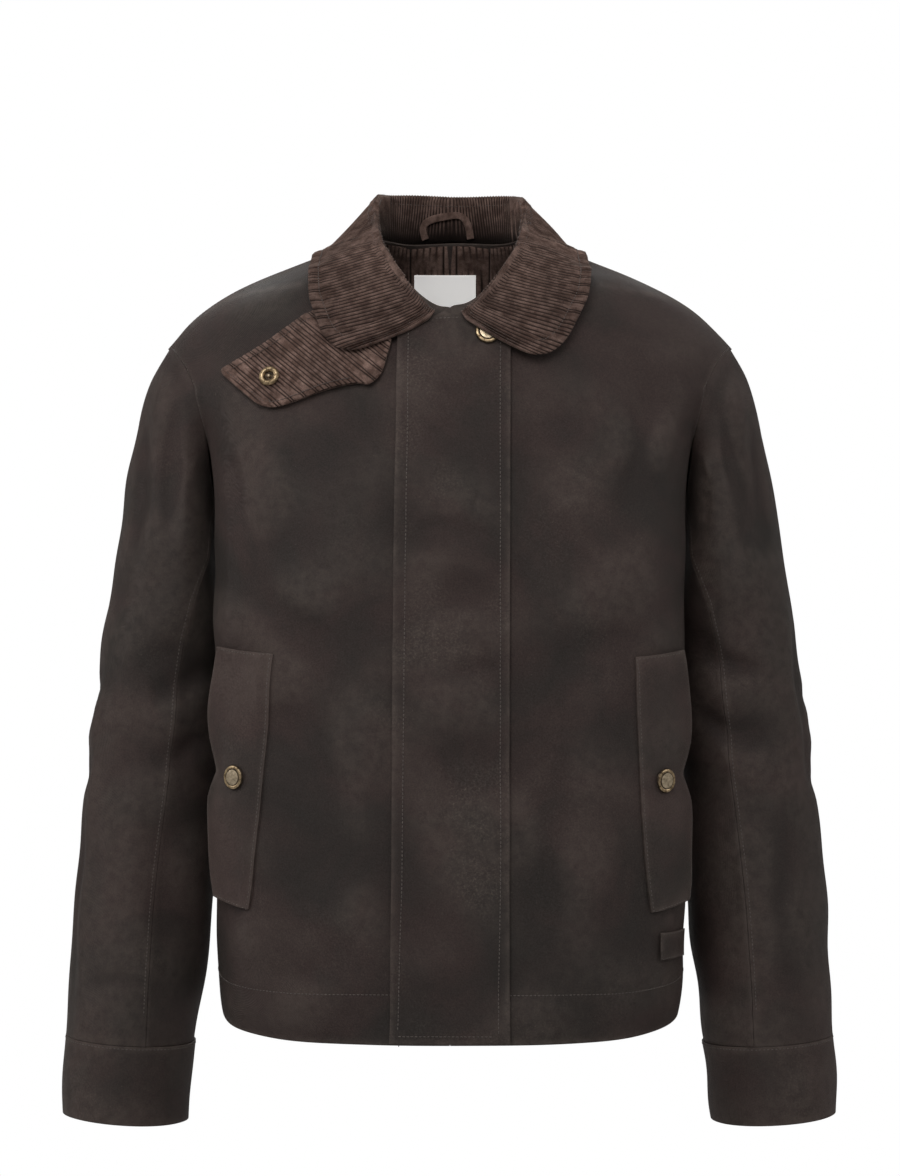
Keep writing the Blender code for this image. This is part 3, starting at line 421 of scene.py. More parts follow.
def corduroy(name, ground_with_shade=GROUND_WITH_SHADE, gain=1.0):
    material, tree, shader = new_finish(name, {
        "Roughness": 0.92, "Sheen Weight": 0.22, "Sheen Roughness": 0.35,
        "Sheen Tint": (0.85, 0.68, 0.58, 1), "Specular IOR Level": 0.2,
    })
    tufts = noise(tree, 1500.0, 2.0, 0.7)
    clumps = noise(tree, 120.0, 4.0, 0.6)
    crushed = noise(tree, 24.0, 3.0, 0.55)
    pile = blend(fade(clumps, 0.40, 0.68), (*PILE, 1), (*PILE_LIGHT, 1))
    pile = tint(pile, fade(crushed, 0.34, 0.66, 0.72 * gain, 1.14 * gain))
    pile = tint(pile, fade(tufts, 0.3, 0.7, 0.72, 1.25))
    rib = add_node(tree, "Attribute", attribute_name="rib").outputs["Fac"]
    feed(shader, {
        # painted shade: the grooves are coloured much darker, besides their bare ground
        "Base Color": blend(fade(rib, 0.10, 0.52), (*ground_with_shade, 1), pile),
        "Normal": bump(plus(tufts, times(clumps, 2.0)), 0.00022),
    })
    return material


cord = corduroy("corduroy")
# a lighter copy of the corduroy, with paler grooves, for the tab and the loop
cord_lighter = corduroy("corduroy_lighter", (0.0230, 0.0140, 0.0115), 1.35)
print("corduroy:", len(cord.node_tree.nodes), "nodes")

# %% [markdown]
# ## Brass, thread, label
# The press studs are antique brass: brass darkened in a bath, then brushed so that the high parts
# shine. Thread is waxed like the cloth, a little paler. The neck label is a pale woven tape. It
# sits in shade inside the neck, so the tape has a faint emission: a painted glow, though it is no
# lamp.

# %% Brass, thread and label
def metal(name, dark, bright, low, high):
    material, tree, shader = new_finish(name, {"Metallic": 1.0})
    stains = noise(tree, 420.0, 4.0, 0.6)
    feed(shader, {
        "Base Color": ramp(stains, [(0.34, dark), (0.62, bright)]),
        "Roughness": fade(stains, 0.3, 0.7, high, low),
        "Normal": bump(noise(tree, 1800.0, 2.0, 0.5), 0.00003),
    })
    return material


def plain_thread(name, dark, light):
    material, tree, shader = new_finish(name, {"Roughness": 0.75, "Sheen Weight": 0.2})
    twist = noise(tree, 1400.0, 2.0, 0.5)
    feed(shader, {"Base Color": ramp(twist, [(0.35, dark), (0.65, light)])})
    return material


def woven_tape_with_painted_glow(name):
    material, tree, shader = new_finish(name, {
        # painted light: the tape glows a little by itself, to brighten it in the shade inside the
        # neck
        "Roughness": 0.7, "Sheen Weight": 0.25, "Emission Strength": 0.38,
        "Emission Color": (1.0, 0.98, 0.96, 1),
    })
    fibres = noise(tree, 1200.0, 3.0, 0.6, stretch=(1, 1, 3))
    feed(shader, {
        "Base Color": ramp(fibres, [(0.3, (0.74, 0.72, 0.70)), (0.7, (0.90, 0.88, 0.86))]),
        "Normal": bump(weave_height(tree), 0.00008),
    })
    return material


brass = metal("antique_brass", (0.13, 0.090, 0.052), (0.52, 0.39, 0.235), 0.30, 0.52)
pale_metal = metal("brushed_pale_metal", (0.28, 0.225, 0.155), (0.60, 0.49, 0.345), 0.36, 0.52)
dark_metal = metal("blackened_brass", (0.020, 0.016, 0.013), (0.085, 0.062, 0.042), 0.35, 0.60)
thread = plain_thread("waxed_thread", (0.040, 0.030, 0.026), (0.125, 0.100, 0.086))
cord_thread = plain_thread("collar_thread", (0.040, 0.024, 0.019), (0.085, 0.055, 0.044))
tape = woven_tape_with_painted_glow("woven_label_painted_glow")
print("finishes:", len(bpy.data.materials))

# %% [markdown]
# ## From wall to cloth
# Each panel of the frame is a thin closed wall with rather large faces. A copy of it is merged,
# its triangles are joined into squares, and Catmull-Clark subdivision rounds the surface. The
# edges where face meets rim are kept sharp, so the seams stay shut; a small bevel then rolls them
# over, as turned cloth is.

# %% Copying and smoothing a panel
RIM_ANGLE = math.radians(52)
SQUARE_ANGLE = math.radians(60)
SMOOTH_ANGLE = math.radians(50)
MERGE = 1e-5
ROLLED_EDGE = 0.00035


def copy_panel(node_name, piece_name):
    """A merged copy of a node, in squares, with its rims creased."""
    piece = new_object(piece_name, nodes[node_name].data.copy())
    piece.data.materials.clear()
    open_piece(piece)
    bpy.ops.mesh.remove_doubles(threshold=MERGE)
    bpy.ops.mesh.tris_convert_to_quads(face_threshold=SQUARE_ANGLE, shape_threshold=SQUARE_ANGLE)
    bpy.ops.mesh.select_mode(type="EDGE")
    bpy.ops.mesh.select_all(action="DESELECT")
    bpy.ops.mesh.edges_select_sharp(sharpness=RIM_ANGLE)
    bpy.ops.transform.edge_crease(value=1)
    close_piece()
    return piece


def roll_edges(piece):
    limit = {"limit_method": "ANGLE", "angle_limit": RIM_ANGLE}
    apply_modifier(piece, "BEVEL", width=ROLLED_EDGE, segments=2, **limit)
    select_only(piece)
    bpy.ops.object.shade_smooth_by_angle(angle=SMOOTH_ANGLE)


# %% [markdown]
# ## Which way is out
# Creases are made by pushing cloth in or out, so every point needs to know which way out is. For
# the body that is away from an upright axis, and upwards over the shoulders; for a sleeve it is
# away from the line down the middle of the arm. Both change so gently that the face of the cloth,
# its lining side and the stitches on it all move together.

# %% Directions
BODY_AXIS_Y = -0.085
BODY_HALF_WIDTH = 0.17
BODY_HALF_DEPTH = 0.10
SHOULDERS_FROM = -0.16
SHOULDERS_OVER = 0.12  # the height in which the body turns into shoulders
UPWARD = 9.0
ARM_AXIS = np.array([  # down the middle of the wearer's left sleeve
    (0.150, -0.070, -0.150), (0.184, -0.070, -0.167), (0.209, -0.065, -0.272),
    (0.219, -0.060, -0.371), (0.228, -0.066, -0.475), (0.235, -0.080, -0.578),
    (0.242, -0.090, -0.690),
])


def unit(vectors):
    return vectors / np.maximum(np.linalg.norm(vectors, axis=-1, keepdims=True), 1e-9)


def out_of_body(points):
    rise = np.clip((points[:, 2] - SHOULDERS_FROM) / SHOULDERS_OVER, 0, 1.5)
    return unit(np.column_stack([
        points[:, 0] / BODY_HALF_WIDTH**2,
        (points[:, 1] - BODY_AXIS_Y) / BODY_HALF_DEPTH**2,
        rise * UPWARD,
    ]))


def nearest_on_line(points, line):
    """The nearest place on a line of points: where it is, how far, and its share of the length."""
    steps = np.linalg.norm(np.diff(line, axis=0), axis=1)
    before = np.concatenate([[0.0], np.cumsum(steps)])
    places, shares = [], []
    for start, end, length, offset in zip(line[:-1], line[1:], steps, before):
        along = np.clip((points - start) @ (end - start) / length**2, 0, 1)
        places.append(start + along[:, None] * (end - start))
        shares.append((offset + along * length) / before[-1])
    places, shares = np.array(places), np.array(shares)
    distances = np.linalg.norm(points - places, axis=2)
    nearest = distances.argmin(axis=0), np.arange(len(points))
    return places[nearest], distances[nearest], shares[nearest]


def out_of_sleeve(points):
    side = np.ones((len(points), 3))
    side[points[:, 0] < 0, 0] = -1
    folded = points * side
    place, _, _ = nearest_on_line(folded, ARM_AXIS)
    return unit(folded - place) * side


def from_line(points, line):
    """How far points lie from a line seen from the front, the same on both sides."""
    seen = np.column_stack([np.abs(points[:, 0]), points[:, 2]])
    return nearest_on_line(seen, line)[1]


OUTWARD = {"body": out_of_body, "sleeve": out_of_sleeve}
print("out at the chest:", out_of_body(np.array([[0.1, -0.2, -0.3]])).round(2))

# %% [markdown]
# ## Creases placed one by one
# Waxed cotton is stiff: it makes a few long soft folds rather than many small ones. They start
# where the cloth is held, at the armholes, elbows and side seams, and run off into nothing. Each
# is a line seen from one side, with a width and a height, below zero for a trough, which gets
# small raised lips. Slow ripples run over everything, and nothing moves at the armhole seam.

# %% Creases of the body
VIEWS = {  # which two directions a line is drawn in, and the way the cloth there faces
    "front": ((0, 2), (0, -1, 0)),
    "back": ((0, 2), (0, 1, 0)),
    "left": ((1, 2), (1, 0, 0)),
    "right": ((1, 2), (-1, 0, 0)),
}
BODY_FRONT = [  # half width, height, then both coordinates of each point, in millimetres
    # the wearer's right front
    (9, -2, -172, -150, -158, -185, -150, -225), (14, 1.6, -150, -140, -135, -180, -128, -240),
    (16, -1.8, -160, -250, -120, -285, -72, -318), (20, 1.8, -165, -275, -125, -318, -90, -345),
    (22, -1.6, -95, -520, -110, -450, -92, -380), (16, 1.3, -60, -330, -66, -420, -60, -520),
    (10, -1.2, -150, -530, -120, -545, -80, -535),
    # the wearer's left front
    (7, -2.4, 190, -122, 183, -142, 176, -160), (6, -1.8, 176, -138, 170, -160, 160, -182),
    (10, 2, 168, -120, 158, -150, 148, -190), (12, -1.6, 140, -125, 136, -170, 128, -215),
    (18, 1.7, 165, -240, 120, -262, 70, -290), (18, -1.8, 168, -275, 125, -300, 76, -330),
    (20, 1.5, 92, -360, 100, -440, 90, -530), (14, -1.2, 66, -350, 70, -450, 66, -540),
    # across the flap
    (9, -1.1, -30, -226, 0, -222, 34, -230), (10, 1.3, -34, -252, 2, -246, 38, -256),
    (9, -1.4, -10, -276, 14, -270, 40, -280), (11, 1.4, -30, -306, 4, -296, 38, -300),
    (8, -1.2, -4, -330, 20, -322, 40, -326), (12, 1.1, -28, -358, 0, -350, 36, -360),
    (10, -1, -12, -392, 10, -386, 38, -394), (14, 0.8, -32, -430, 0, -436, 36, -428),
]
BODY_BACK = [  # drapes from the shoulder blades, a tuck at each armhole
    (18, -2.4, -118, -150, -112, -300, -120, -470), (20, 2.2, -82, -180, -76, -330, -84, -520),
    (16, -1.8, -34, -260, -40, -400, -30, -560), (20, 1.8, 4, -220, 10, -380, 2, -540),
    (18, -2.2, 52, -200, 56, -340, 48, -520), (20, 2.2, 92, -170, 96, -330, 90, -500),
    (15, -2.2, 126, -160, 124, -300, 130, -450), (10, -2.2, 172, -130, 156, -180, 138, -215),
    (10, -2.2, -170, -134, -152, -184, -140, -220),
    (14, 1.4, -110, -90, -40, -104, 40, -102, 112, -88),
    (12, -1.2, -100, -545, -20, -538, 70, -550),
]
BODY_LEFT = [  # under the arms
    (10, -2, -120, -330, -90, -350, -55, -345), (10, 1.8, -122, -362, -88, -384, -52, -378),
    (12, -1.8, -110, -430, -84, -450, -50, -446),
]
BODY_RIGHT = [
    (10, -2, -118, -340, -86, -356, -52, -350), (10, 1.8, -120, -374, -84, -392, -50, -388),
    (12, -1.8, -112, -444, -82, -458, -50, -455),
]
print("creases on the front of the body:", len(BODY_FRONT))

# %% Creases of the sleeves
SLEEVE_FRONT = [
    # the wearer's right sleeve
    (6, 2, -207, -97, -214, -141, -221, -190), (7, -2.2, -221, -140, -226, -190, -232, -250),
    (6, -2, -199, -125, -205, -165, -210, -205), (6, 1.8, -194, -150, -191, -190, -196, -235),
    (8, -2.2, -196, -150, -203, -190, -208, -240), (9, 1.8, -184, -190, -190, -240, -196, -290),
    (5, 1.5, -251, -290, -258, -335, -262, -380, -267, -440, -271, -520, -272, -585),
    (5, -1.8, -259, -300, -266, -350, -271, -410, -277, -500, -279, -590),
    (10, -2.4, -176, -320, -196, -338, -222, -346), (10, 1.8, -178, -345, -200, -366, -228, -372),
    (9, -2, -180, -372, -200, -392, -220, -396), (13, 1.3, -240, -400, -236, -460, -240, -530),
    (11, -1.5, -212, -440, -216, -510, -214, -575), (7, -1, -268, -560, -240, -552, -215, -560),
    # the wearer's left sleeve
    (6, 2, 204, -100, 212, -146, 216, -195), (7, -2.2, 219, -138, 226, -188, 231, -246),
    (6, -2, 197, -128, 202, -168, 209, -214), (7, -2.2, 206, -155, 214, -190, 218, -230),
    (9, 1.8, 192, -180, 200, -230, 206, -290),
    (5, 1.5, 243, -258, 248, -312, 252, -342, 258, -381, 264, -425),
    (5, -1.8, 252, -268, 258, -330, 263, -370, 268, -420),
    (10, -2.6, 176, -300, 200, -322, 232, -328), (9, 1.9, 178, -326, 204, -350, 236, -352),
    (9, -2.4, 180, -352, 204, -374, 232, -378), (10, 1.4, 186, -380, 210, -400, 240, -402),
    (12, -1.4, 246, -430, 243, -500, 248, -570), (12, 1.3, 220, -430, 222, -500, 220, -570),
]
SLEEVE_LEFT = [  # at the elbows
    (10, -1.3, -105, -330, -75, -350, -35, -346), (10, 1.2, -108, -362, -72, -384, -30, -378),
    (10, -1.1, -106, -398, -74, -414, -34, -412), (14, 1, -80, -150, -72, -220, -76, -290),
]
SLEEVE_RIGHT = [
    (10, -1.3, -104, -322, -72, -344, -32, -340), (10, 1.2, -106, -356, -74, -378, -30, -372),
    (10, -1.1, -104, -392, -70, -410, -32, -406), (14, 1, -78, -146, -70, -214, -74, -284),
]
SLEEVE_BACK = [
    (10, -2.2, 178, -318, 206, -336, 240, -332), (11, 1.8, 180, -352, 208, -372, 244, -366),
    (10, -2, 182, -390, 210, -404, 242, -400), (10, -2.2, -178, -322, -204, -342, -238, -338),
    (11, 1.8, -180, -356, -208, -378, -244, -372), (10, -2, -182, -396, -208, -410, -242, -406),
    (9, -2, 190, -160, 198, -205, 204, -250), (9, -2, -190, -164, -199, -210, -203, -255),
]
CREASES = {
    "body": {"front": BODY_FRONT, "back": BODY_BACK, "left": BODY_LEFT, "right": BODY_RIGHT},
    "sleeve": {
        "front": SLEEVE_FRONT, "left": SLEEVE_LEFT, "right": SLEEVE_RIGHT, "back": SLEEVE_BACK,
    },
}
for region, views in CREASES.items():
    print(region, "creases:", {view: len(creases) for view, creases in views.items()})

# %% Pushing the cloth
CREASE_GAIN = 1.3
CREASE_REACH = 3.2  # beyond so many half widths a crease is nothing
LIP = 0.55
TURNING = (0.15, 0.55)  # a crease shows where the cloth faces its side this much


def soft_step(values, low, high):
    share = np.clip((values - low) / (high - low), 0, 1)
    return share * share * (3 - 2 * share)


def crease_height(points, facing, view, half_width, height, line):
    """How far one crease pushes each point out. It fades at its ends and where the cloth turns."""
    axes, look = VIEWS[view]
    flat = points[:, axes]
    line = np.array(line).reshape(-1, 2) / 1000
    reach = CREASE_REACH * half_width
    inside = np.all((flat > line.min(0) - reach) & (flat < line.max(0) + reach), axis=1)
    result = np.zeros(len(points))
    if not inside.any():
        return result
    _, distance, share = nearest_on_line(flat[inside], line)
    across = (distance / half_width) ** 2
    lips = 1.0 - LIP * across if height < 0 else 1.0
    ends = np.sin(math.pi * np.clip(share, 0.02, 0.98)) ** 0.7
    turned = soft_step(facing[inside] @ np.array(look, float), *TURNING)
    result[inside] = CREASE_GAIN * height * np.exp(-across) * lips * ends * turned
    return result


# %% Draping
FULLNESS = {"body": 0.0004, "sleeve": 0.0014}  # gives back what smoothing takes off a round wall
RIPPLES = 14
RIPPLE_HEIGHT = 0.00028
RIPPLE_LENGTHS = (0.045, 0.130)
ARMHOLE = np.array([  # x and height along the armhole seam, where body and sleeve must still meet
    (0.211, -0.088), (0.200, -0.102), (0.187, -0.122), (0.179, -0.138), (0.172, -0.170),
    (0.167, -0.210), (0.157, -0.245),
])
STILL = 0.003  # nothing moves this near the armhole seam
FREE = 0.026

waves = random.Random(7)
RIPPLE_TABLE = [
    (
        Vector([waves.gauss(0, 1) for _ in range(3)]).normalized(),
        2 * math.pi / waves.uniform(*RIPPLE_LENGTHS),
        waves.uniform(0, 2 * math.pi),
    )
    for _ in range(RIPPLES)
]


def drape(points, region):
    """Where each point goes, and how far out it is pushed."""
    facing = OUTWARD[region](points)
    push = np.full(len(points), FULLNESS[region])
    for view, creases in CREASES[region].items():
        for half_width, height, *line in creases:
            push += crease_height(points, facing, view, half_width / 1000, height / 1000, line)
    for way, turns, start in RIPPLE_TABLE:
        push += RIPPLE_HEIGHT * np.sin(points @ np.array(way) * turns + start)
    push *= soft_step(from_line(points, ARMHOLE), STILL, FREE)
    return points + facing * push[:, None], push


print("push at the chest:", drape(np.array([[0.1, -0.2, -0.3]]), "body")[1].round(5), "m")

# %% [markdown]
# ## The panels
# Every cloth node of the frame is now copied and smoothed. The frame's corduroy ribs are low
# zigzags, and subdivision would flatten them to a third, so each rib is raised beforehand. The
# short edges at a point run across the ribs, so the two most nearly opposite ones show whether it
# is on a crest or in a groove.

# %% Ribs
RIB_EDGE = 0.0034  # edges across the ribs are shorter than this
RIB_STRAIGHT = math.radians(118)
RIB_GAIN = 3.2


def opposite(vert, ways):
    """How nearly two neighbours lie on opposite sides of a point: -1 is quite."""
    one, other = ((way - vert.co).normalized() for way in ways)
    return one.dot(other)


def raise_ribs(piece):
    """Raises crests and lowers grooves, and marks them in the attribute "rib"."""
    shape = bmesh.new()
    shape.from_mesh(piece.data)
    mark = shape.verts.layers.float.new("rib")
    moves = {}
    for vert in shape.verts:
        vert[mark] = 0.5
        across = [edge for edge in vert.link_edges if edge.calc_length() < RIB_EDGE]
        pairs = itertools.combinations([edge.other_vert(vert).co for edge in across], 2)
        near = min(pairs, key=lambda pair: opposite(vert, pair), default=None)
        if near is None or (near[0] - vert.co).angle(near[1] - vert.co) < RIB_STRAIGHT:
            continue
        rise = vert.co - (near[0] + near[1]) / 2
        height = rise.dot(vert.normal)
        vert[mark] = 1.0 if height > 0 else 0.0
        moves[vert] = rise * RIB_GAIN / 2
    for vert, move in moves.items():
        vert.co += move
    shape.to_mesh(piece.data)
    shape.free()
    print(f"{piece.name}: {len(moves)} points on ribs")


# %% The pattern
PATTERN = [  # nodes, * being each side; finish; region; rectangle, area of the cut; lies on
    ("back", waxed, "body", (0.620, 0.640), 0.260),
    ("front_*", waxed, "body", (0.300, 0.600), 0.143),
    ("storm_flap", waxed_flap, "body", (0.085, 0.530), 0.0441, ["front_left", "front_right"]),
    ("pocket_welt_*", waxed_welt, "body", (0.068, 0.205), 0.0124, ["front_*"]),
    ("hem_patch", waxed, "body", (0.021, 0.036), None, ["front_left"]),
    ("sleeve_upper_*", waxed, "sleeve", (0.270, 0.530), 0.0998),
    ("sleeve_under_*", waxed, "sleeve", (0.120, 0.500), 0.0486),
    ("cuff_*", waxed, "sleeve", (0.068, 0.256), 0.0166),
    ("collar", cord, "body", (0.150, 0.470), 0.051),
    ("back_neck_facing", cord, "body", (0.090, 0.300), 0.0245, ["back"]),
    ("throat_tab", cord_lighter, "body", (0.085, 0.115), 0.0069, ["front_right"]),
    ("hanger_loop", cord_lighter, "body", (0.010, 0.060), None, ["collar"]),
    ("neck_label", tape, "body", (0.048, 0.038), None, ["back_neck_facing"]),
]
SIDES = ("left", "right")
PANELS = {}
for node_name, finish, region, flat, area, *under in PATTERN:
    for side in SIDES if "*" in node_name else [""]:
        lies_on = [name.replace("*", side) for names in under for name in names]
        PANELS[node_name.replace("*", side)] = (finish, region, flat, area, lies_on)
print("panels:", len(PANELS))

# %% [markdown]
# ## Edges that lie over each other
# Where two panels are sewn, the turned edge of one lies over the other. The frame's walls only
# meet, so a gap could show once they are smoothed. A sleeve's edge is therefore slipped into the
# armhole, and a welt's sewn edge is sunk into the front. The neck edge is levelled, and the ends
# of the collar hang a little lower than the stiff wall would, onto the press stud.

# %% Laying the edges
def rim_edges(piece):
    """The edges between a panel's faces and its rims: both ends, and the faces that meet there."""
    shape = bmesh.new()
    shape.from_mesh(piece.data)
    found = []
    for edge in shape.edges:
        if len(edge.link_faces) == 2 and edge.calc_face_angle() > RIM_ANGLE:
            ends = [vert.co.copy() for vert in edge.verts]
            faces = [(face.normal.copy(), face.calc_center_median()) for face in edge.link_faces]
            found.append((ends, faces))
    shape.free()
    return found


TUCK = 0.0030  # how far a sleeve's edge goes past the body's
TUCK_RISE = 0.0006
NEAR_BODY = 0.0026
PRESS_DEPTH = 0.0025
PRESS_WIDTH = 0.010
PRESS_LEVELS = 12
NECK_EDGE = (-0.085, -0.070)  # from nothing at the first height to all of the rise at the second
LEVEL_RISE = 0.0034
LEVEL_X = 0.0015
LEVEL_WIDTH = 0.0070
EASE_ENDS = 0.0072
EASE_LESS = 0.0036  # so much less towards the shoulders
EASE_AHEAD = (0.075, 0.150)  # from nothing at the first distance ahead to all at the second
EASE_ASIDE = (0.02, 0.08)
EASE_WAY = (0, -0.40, -1)


def tree_of(piece):
    mesh = piece.data
    return BVHTree.FromPolygons([v.co for v in mesh.vertices], [p.vertices for p in mesh.polygons])


def tuck_in(piece, body_trees):
    """Slips a sleeve's armhole edge into the body's, as the two turnings of a seam lie."""
    shape = bmesh.new()
    shape.from_mesh(piece.data)
    edge_points = [
        vert for vert in shape.verts
        if min(tree.find_nearest(vert.co)[3] for tree in body_trees) < NEAR_BODY
    ]
    moves = []
    for vert in edge_points:
        beyond = [edge.other_vert(vert) for edge in vert.link_edges]
        beyond = [other.co for other in beyond if other not in edge_points]
        if beyond:
            way = (vert.co - sum(beyond, Vector()) / len(beyond)).normalized()
            rise = Vector(out_of_sleeve(np.array([vert.co]))[0]) * TUCK_RISE
            moves.append((vert, way * TUCK + rise))
    for vert, move in moves:
        vert.co += move
    shape.to_mesh(piece.data)
    shape.free()
    print(f"{piece.name}: {len(moves)} points tucked into the body")


def press_sewn_edge(piece):
    """Sinks a pocket welt's sewn edge into the front, so that it lies flush there."""
    points = points_of(piece)
    across, heights = np.abs(points[:, 0]), points[:, 2]
    levels = np.linspace(heights.min(), heights.max(), PRESS_LEVELS)
    line = [across[np.abs(heights - level) < PRESS_WIDTH].min() for level in levels]
    sunk = 1 - soft_step(across - np.interp(heights, levels, line), 0.0, PRESS_WIDTH)
    move_points(piece, points - out_of_body(points) * sunk[:, None] * PRESS_DEPTH)


def level_neck(piece):
    """Brings the centre of the neck edge up level with the ends of the collar."""
    points = points_of(piece)
    top = soft_step(points[:, 2], *NECK_EDGE)
    lift = LEVEL_RISE * top * np.exp(-(((points[:, 0] - LEVEL_X) / LEVEL_WIDTH) ** 2))
    move_points(piece, points + lift[:, None] * (0, 0, 1))


def ease_collar(piece):
    """Lets the ends of the collar hang lower, onto the press stud."""
    points = points_of(piece)
    ahead = soft_step(-points[:, 1], *EASE_AHEAD)
    fall = ahead * (EASE_ENDS - EASE_LESS * soft_step(np.abs(points[:, 0]), *EASE_ASIDE))
    move_points(piece, points + fall[:, None] * EASE_WAY)


# %% Making the panels
RIBBED = ("collar", "back_neck_facing", "throat_tab")
# the loop's rib mark lies between crest and groove, so it gets a little of the painted groove shade
FLAT_RIBS = 0.45  # how high a ribbed piece stands where its ribs aren't modelled
SMOOTHING = 3
FINE_SMOOTHING = 2  # for small pieces, and those whose faces are already small
pieces = {}
seams = {}  # for each node, the edges of its rims before smoothing
body_trees = [tree_of(nodes[name]) for name in ("front_left", "front_right", "back")]
for node_name, (finish, *_) in PANELS.items():
    piece = copy_panel(node_name, node_name + "_cloth")
    seams[node_name] = rim_edges(piece)
    if node_name in RIBBED:
        raise_ribs(piece)
    if node_name.startswith("sleeve"):
        tuck_in(piece, body_trees)
    levels = FINE_SMOOTHING if finish in (cord, cord_lighter, tape) else SMOOTHING
    apply_modifier(piece, "SUBSURF", levels=levels, render_levels=levels)
    if node_name.startswith("pocket_welt"):
        press_sewn_edge(piece)
    if node_name == "collar":
        ease_collar(piece)
    if node_name in ("storm_flap", "front_left", "front_right"):
        level_neck(piece)
    if node_name == "hanger_loop":
        mark_points(piece, "rib", [FLAT_RIBS] * len(piece.data.vertices))
    piece.data.materials.append(finish)
    pieces[node_name] = piece
    print(f"{piece.name}: {len(piece.data.vertices)} points")

# %% [markdown]
# ## Stitching
# A stitch is a short bead of thread that dips into the cloth at both ends. One is modelled by
# hand and copied along every row: a line walked in steps of one stitch, and set on the cloth.

# %% One stitch
STITCH = 0.0021
STITCH_STEP = 0.0029
STITCH_THICK = 0.00046
STITCH_WIDE = 1.5  # times as wide as it is thick
STITCH_LIFT = 0.25  # this share of its thickness stands off the cloth

bpy.ops.mesh.primitive_uv_sphere_add(segments=6, ring_count=4, radius=0.5)
bead = bpy.context.object
open_piece(bead)
bpy.ops.transform.rotate(value=math.pi / 2, orient_axis="Y", center_override=(0, 0, 0))
thick = STITCH_THICK / STITCH
bpy.ops.transform.resize(value=(1.0, thick * STITCH_WIDE, thick))
close_piece()
stitch_points = points_of(bead)
stitch_faces = [tuple(face.vertices) for face in bead.data.polygons]
bpy.data.objects.remove(bead)
print("one stitch:", len(stitch_faces), "faces")

# %% Rows of stitches
trees = {node_name: tree_of(piece) for node_name, piece in pieces.items()}


def walk(line, step):
    """Points at even steps along a line."""
    line = np.array(line, float)
    steps = np.linalg.norm(np.diff(line, axis=0), axis=1)
    length = np.concatenate([[0.0], np.cumsum(steps)])
    stops = np.arange(step / 2, length[-1], step)
    return np.column_stack([np.interp(stops, length, along) for along in line.T])


def set_on(points, node_name, look=None):
    """Each point set on a piece, by a ray or at its nearest place, and the way the cloth faces."""
    tree = trees[node_name]
    if look:
        hits = [tree.ray_cast(Vector(point), Vector(look)) for point in points]
    else:
        hits = [tree.find_nearest(Vector(point)) for point in points]
    return [(place, normal) for place, normal, _, _ in hits if place is not None]


def front_row(line, node_name):
    """A row drawn from the front, as x and height in millimetres."""
    start = [(x / 1000, -1.0, z / 1000) for x, z in line]
    return set_on(walk(start, STITCH_STEP), node_name, (0, 1, 0))


print("stitches across the flap:", len(front_row([(-30, -300), (36, -300)], "storm_flap")))

# %% Rows beside a rim
OUTER_FACE = 0.45  # a face that looks outwards at least this much is the cloth's own


def grow(chain, edges):
    """Moves the first edge that meets an end of the chain over to it, if there is one."""
    for index, (start, end, into) in enumerate(edges):
        for near, far in ((start, end), (end, start)):
            for tip, place in ((-1, len(chain)), (0, 0)):
                if (near - chain[tip][0]).length < MERGE * 10:
                    chain.insert(place, (far, into))
                    edges.pop(index)
                    return True
    return False


def rim_rows(node_name, inset, keep, outward=None):
    """Rows beside a panel's rims, this far in from them. keep says which rims, by their middle."""
    region = outward or OUTWARD[PANELS[node_name][1]]
    edges = []
    for (start, end), faces in seams[node_name]:
        middle = (start + end) / 2
        out = Vector(region(np.array([middle]))[0])
        normal, centre = min(faces, key=lambda face: -face[0].dot(out))
        if normal.dot(out) < OUTER_FACE or not keep(middle):
            continue
        into = normal.cross(end - start).normalized()
        edges.append((start, end, into if into.dot(centre - middle) >= 0 else -into))
    rows = []
    while edges:
        first, last, into = edges.pop()
        chain = [(first, into), (last, into)]
        while grow(chain, edges):
            pass
        line = [point + way * inset for point, way in chain]
        rows.append(set_on(walk(line, STITCH_STEP), node_name))
    return rows


# %% Sewing
LONGEST_GAP = STITCH_STEP * 1.8
sewn = {}  # the panel that each trim lies on


def sew(name, rows, carrier, finish, size=1.0):
    """Copies the stitch along rows of places."""
    all_points, all_faces = [], []
    for row in rows:
        for (place, normal), (after, _) in zip(row[:-1], row[1:]):
            along = after - place
            if not 0 < along.length < LONGEST_GAP:
                continue
            along.normalize()
            side = normal.cross(along).normalized()
            axes = np.array([along, side, along.cross(side)]) * STITCH * size
            lift = np.array(place) + np.array(normal) * STITCH_THICK * STITCH_LIFT
            offset = len(all_points) * len(stitch_points)
            all_points.append(stitch_points @ axes + lift)
            all_faces += [tuple(corner + offset for corner in face) for face in stitch_faces]
    mesh = bpy.data.meshes.new(name)
    mesh.from_pydata(np.concatenate(all_points).tolist(), [], all_faces)
    new_object(name, mesh)
    mesh.materials.append(finish)
    mesh.shade_smooth()
    sewn[name] = carrier
    print(f"{name}: {len(all_points)} stitches")


# %% [markdown]
# ## Where the rows run
# The flap is stitched down its free edges and across its foot, the hem is turned up and stitched
# 36 mm above its edge, and every seam has a row close beside it. The collar's row lies a good
# 7 mm in from its edge, because corduroy is thick and needs a wide turning.

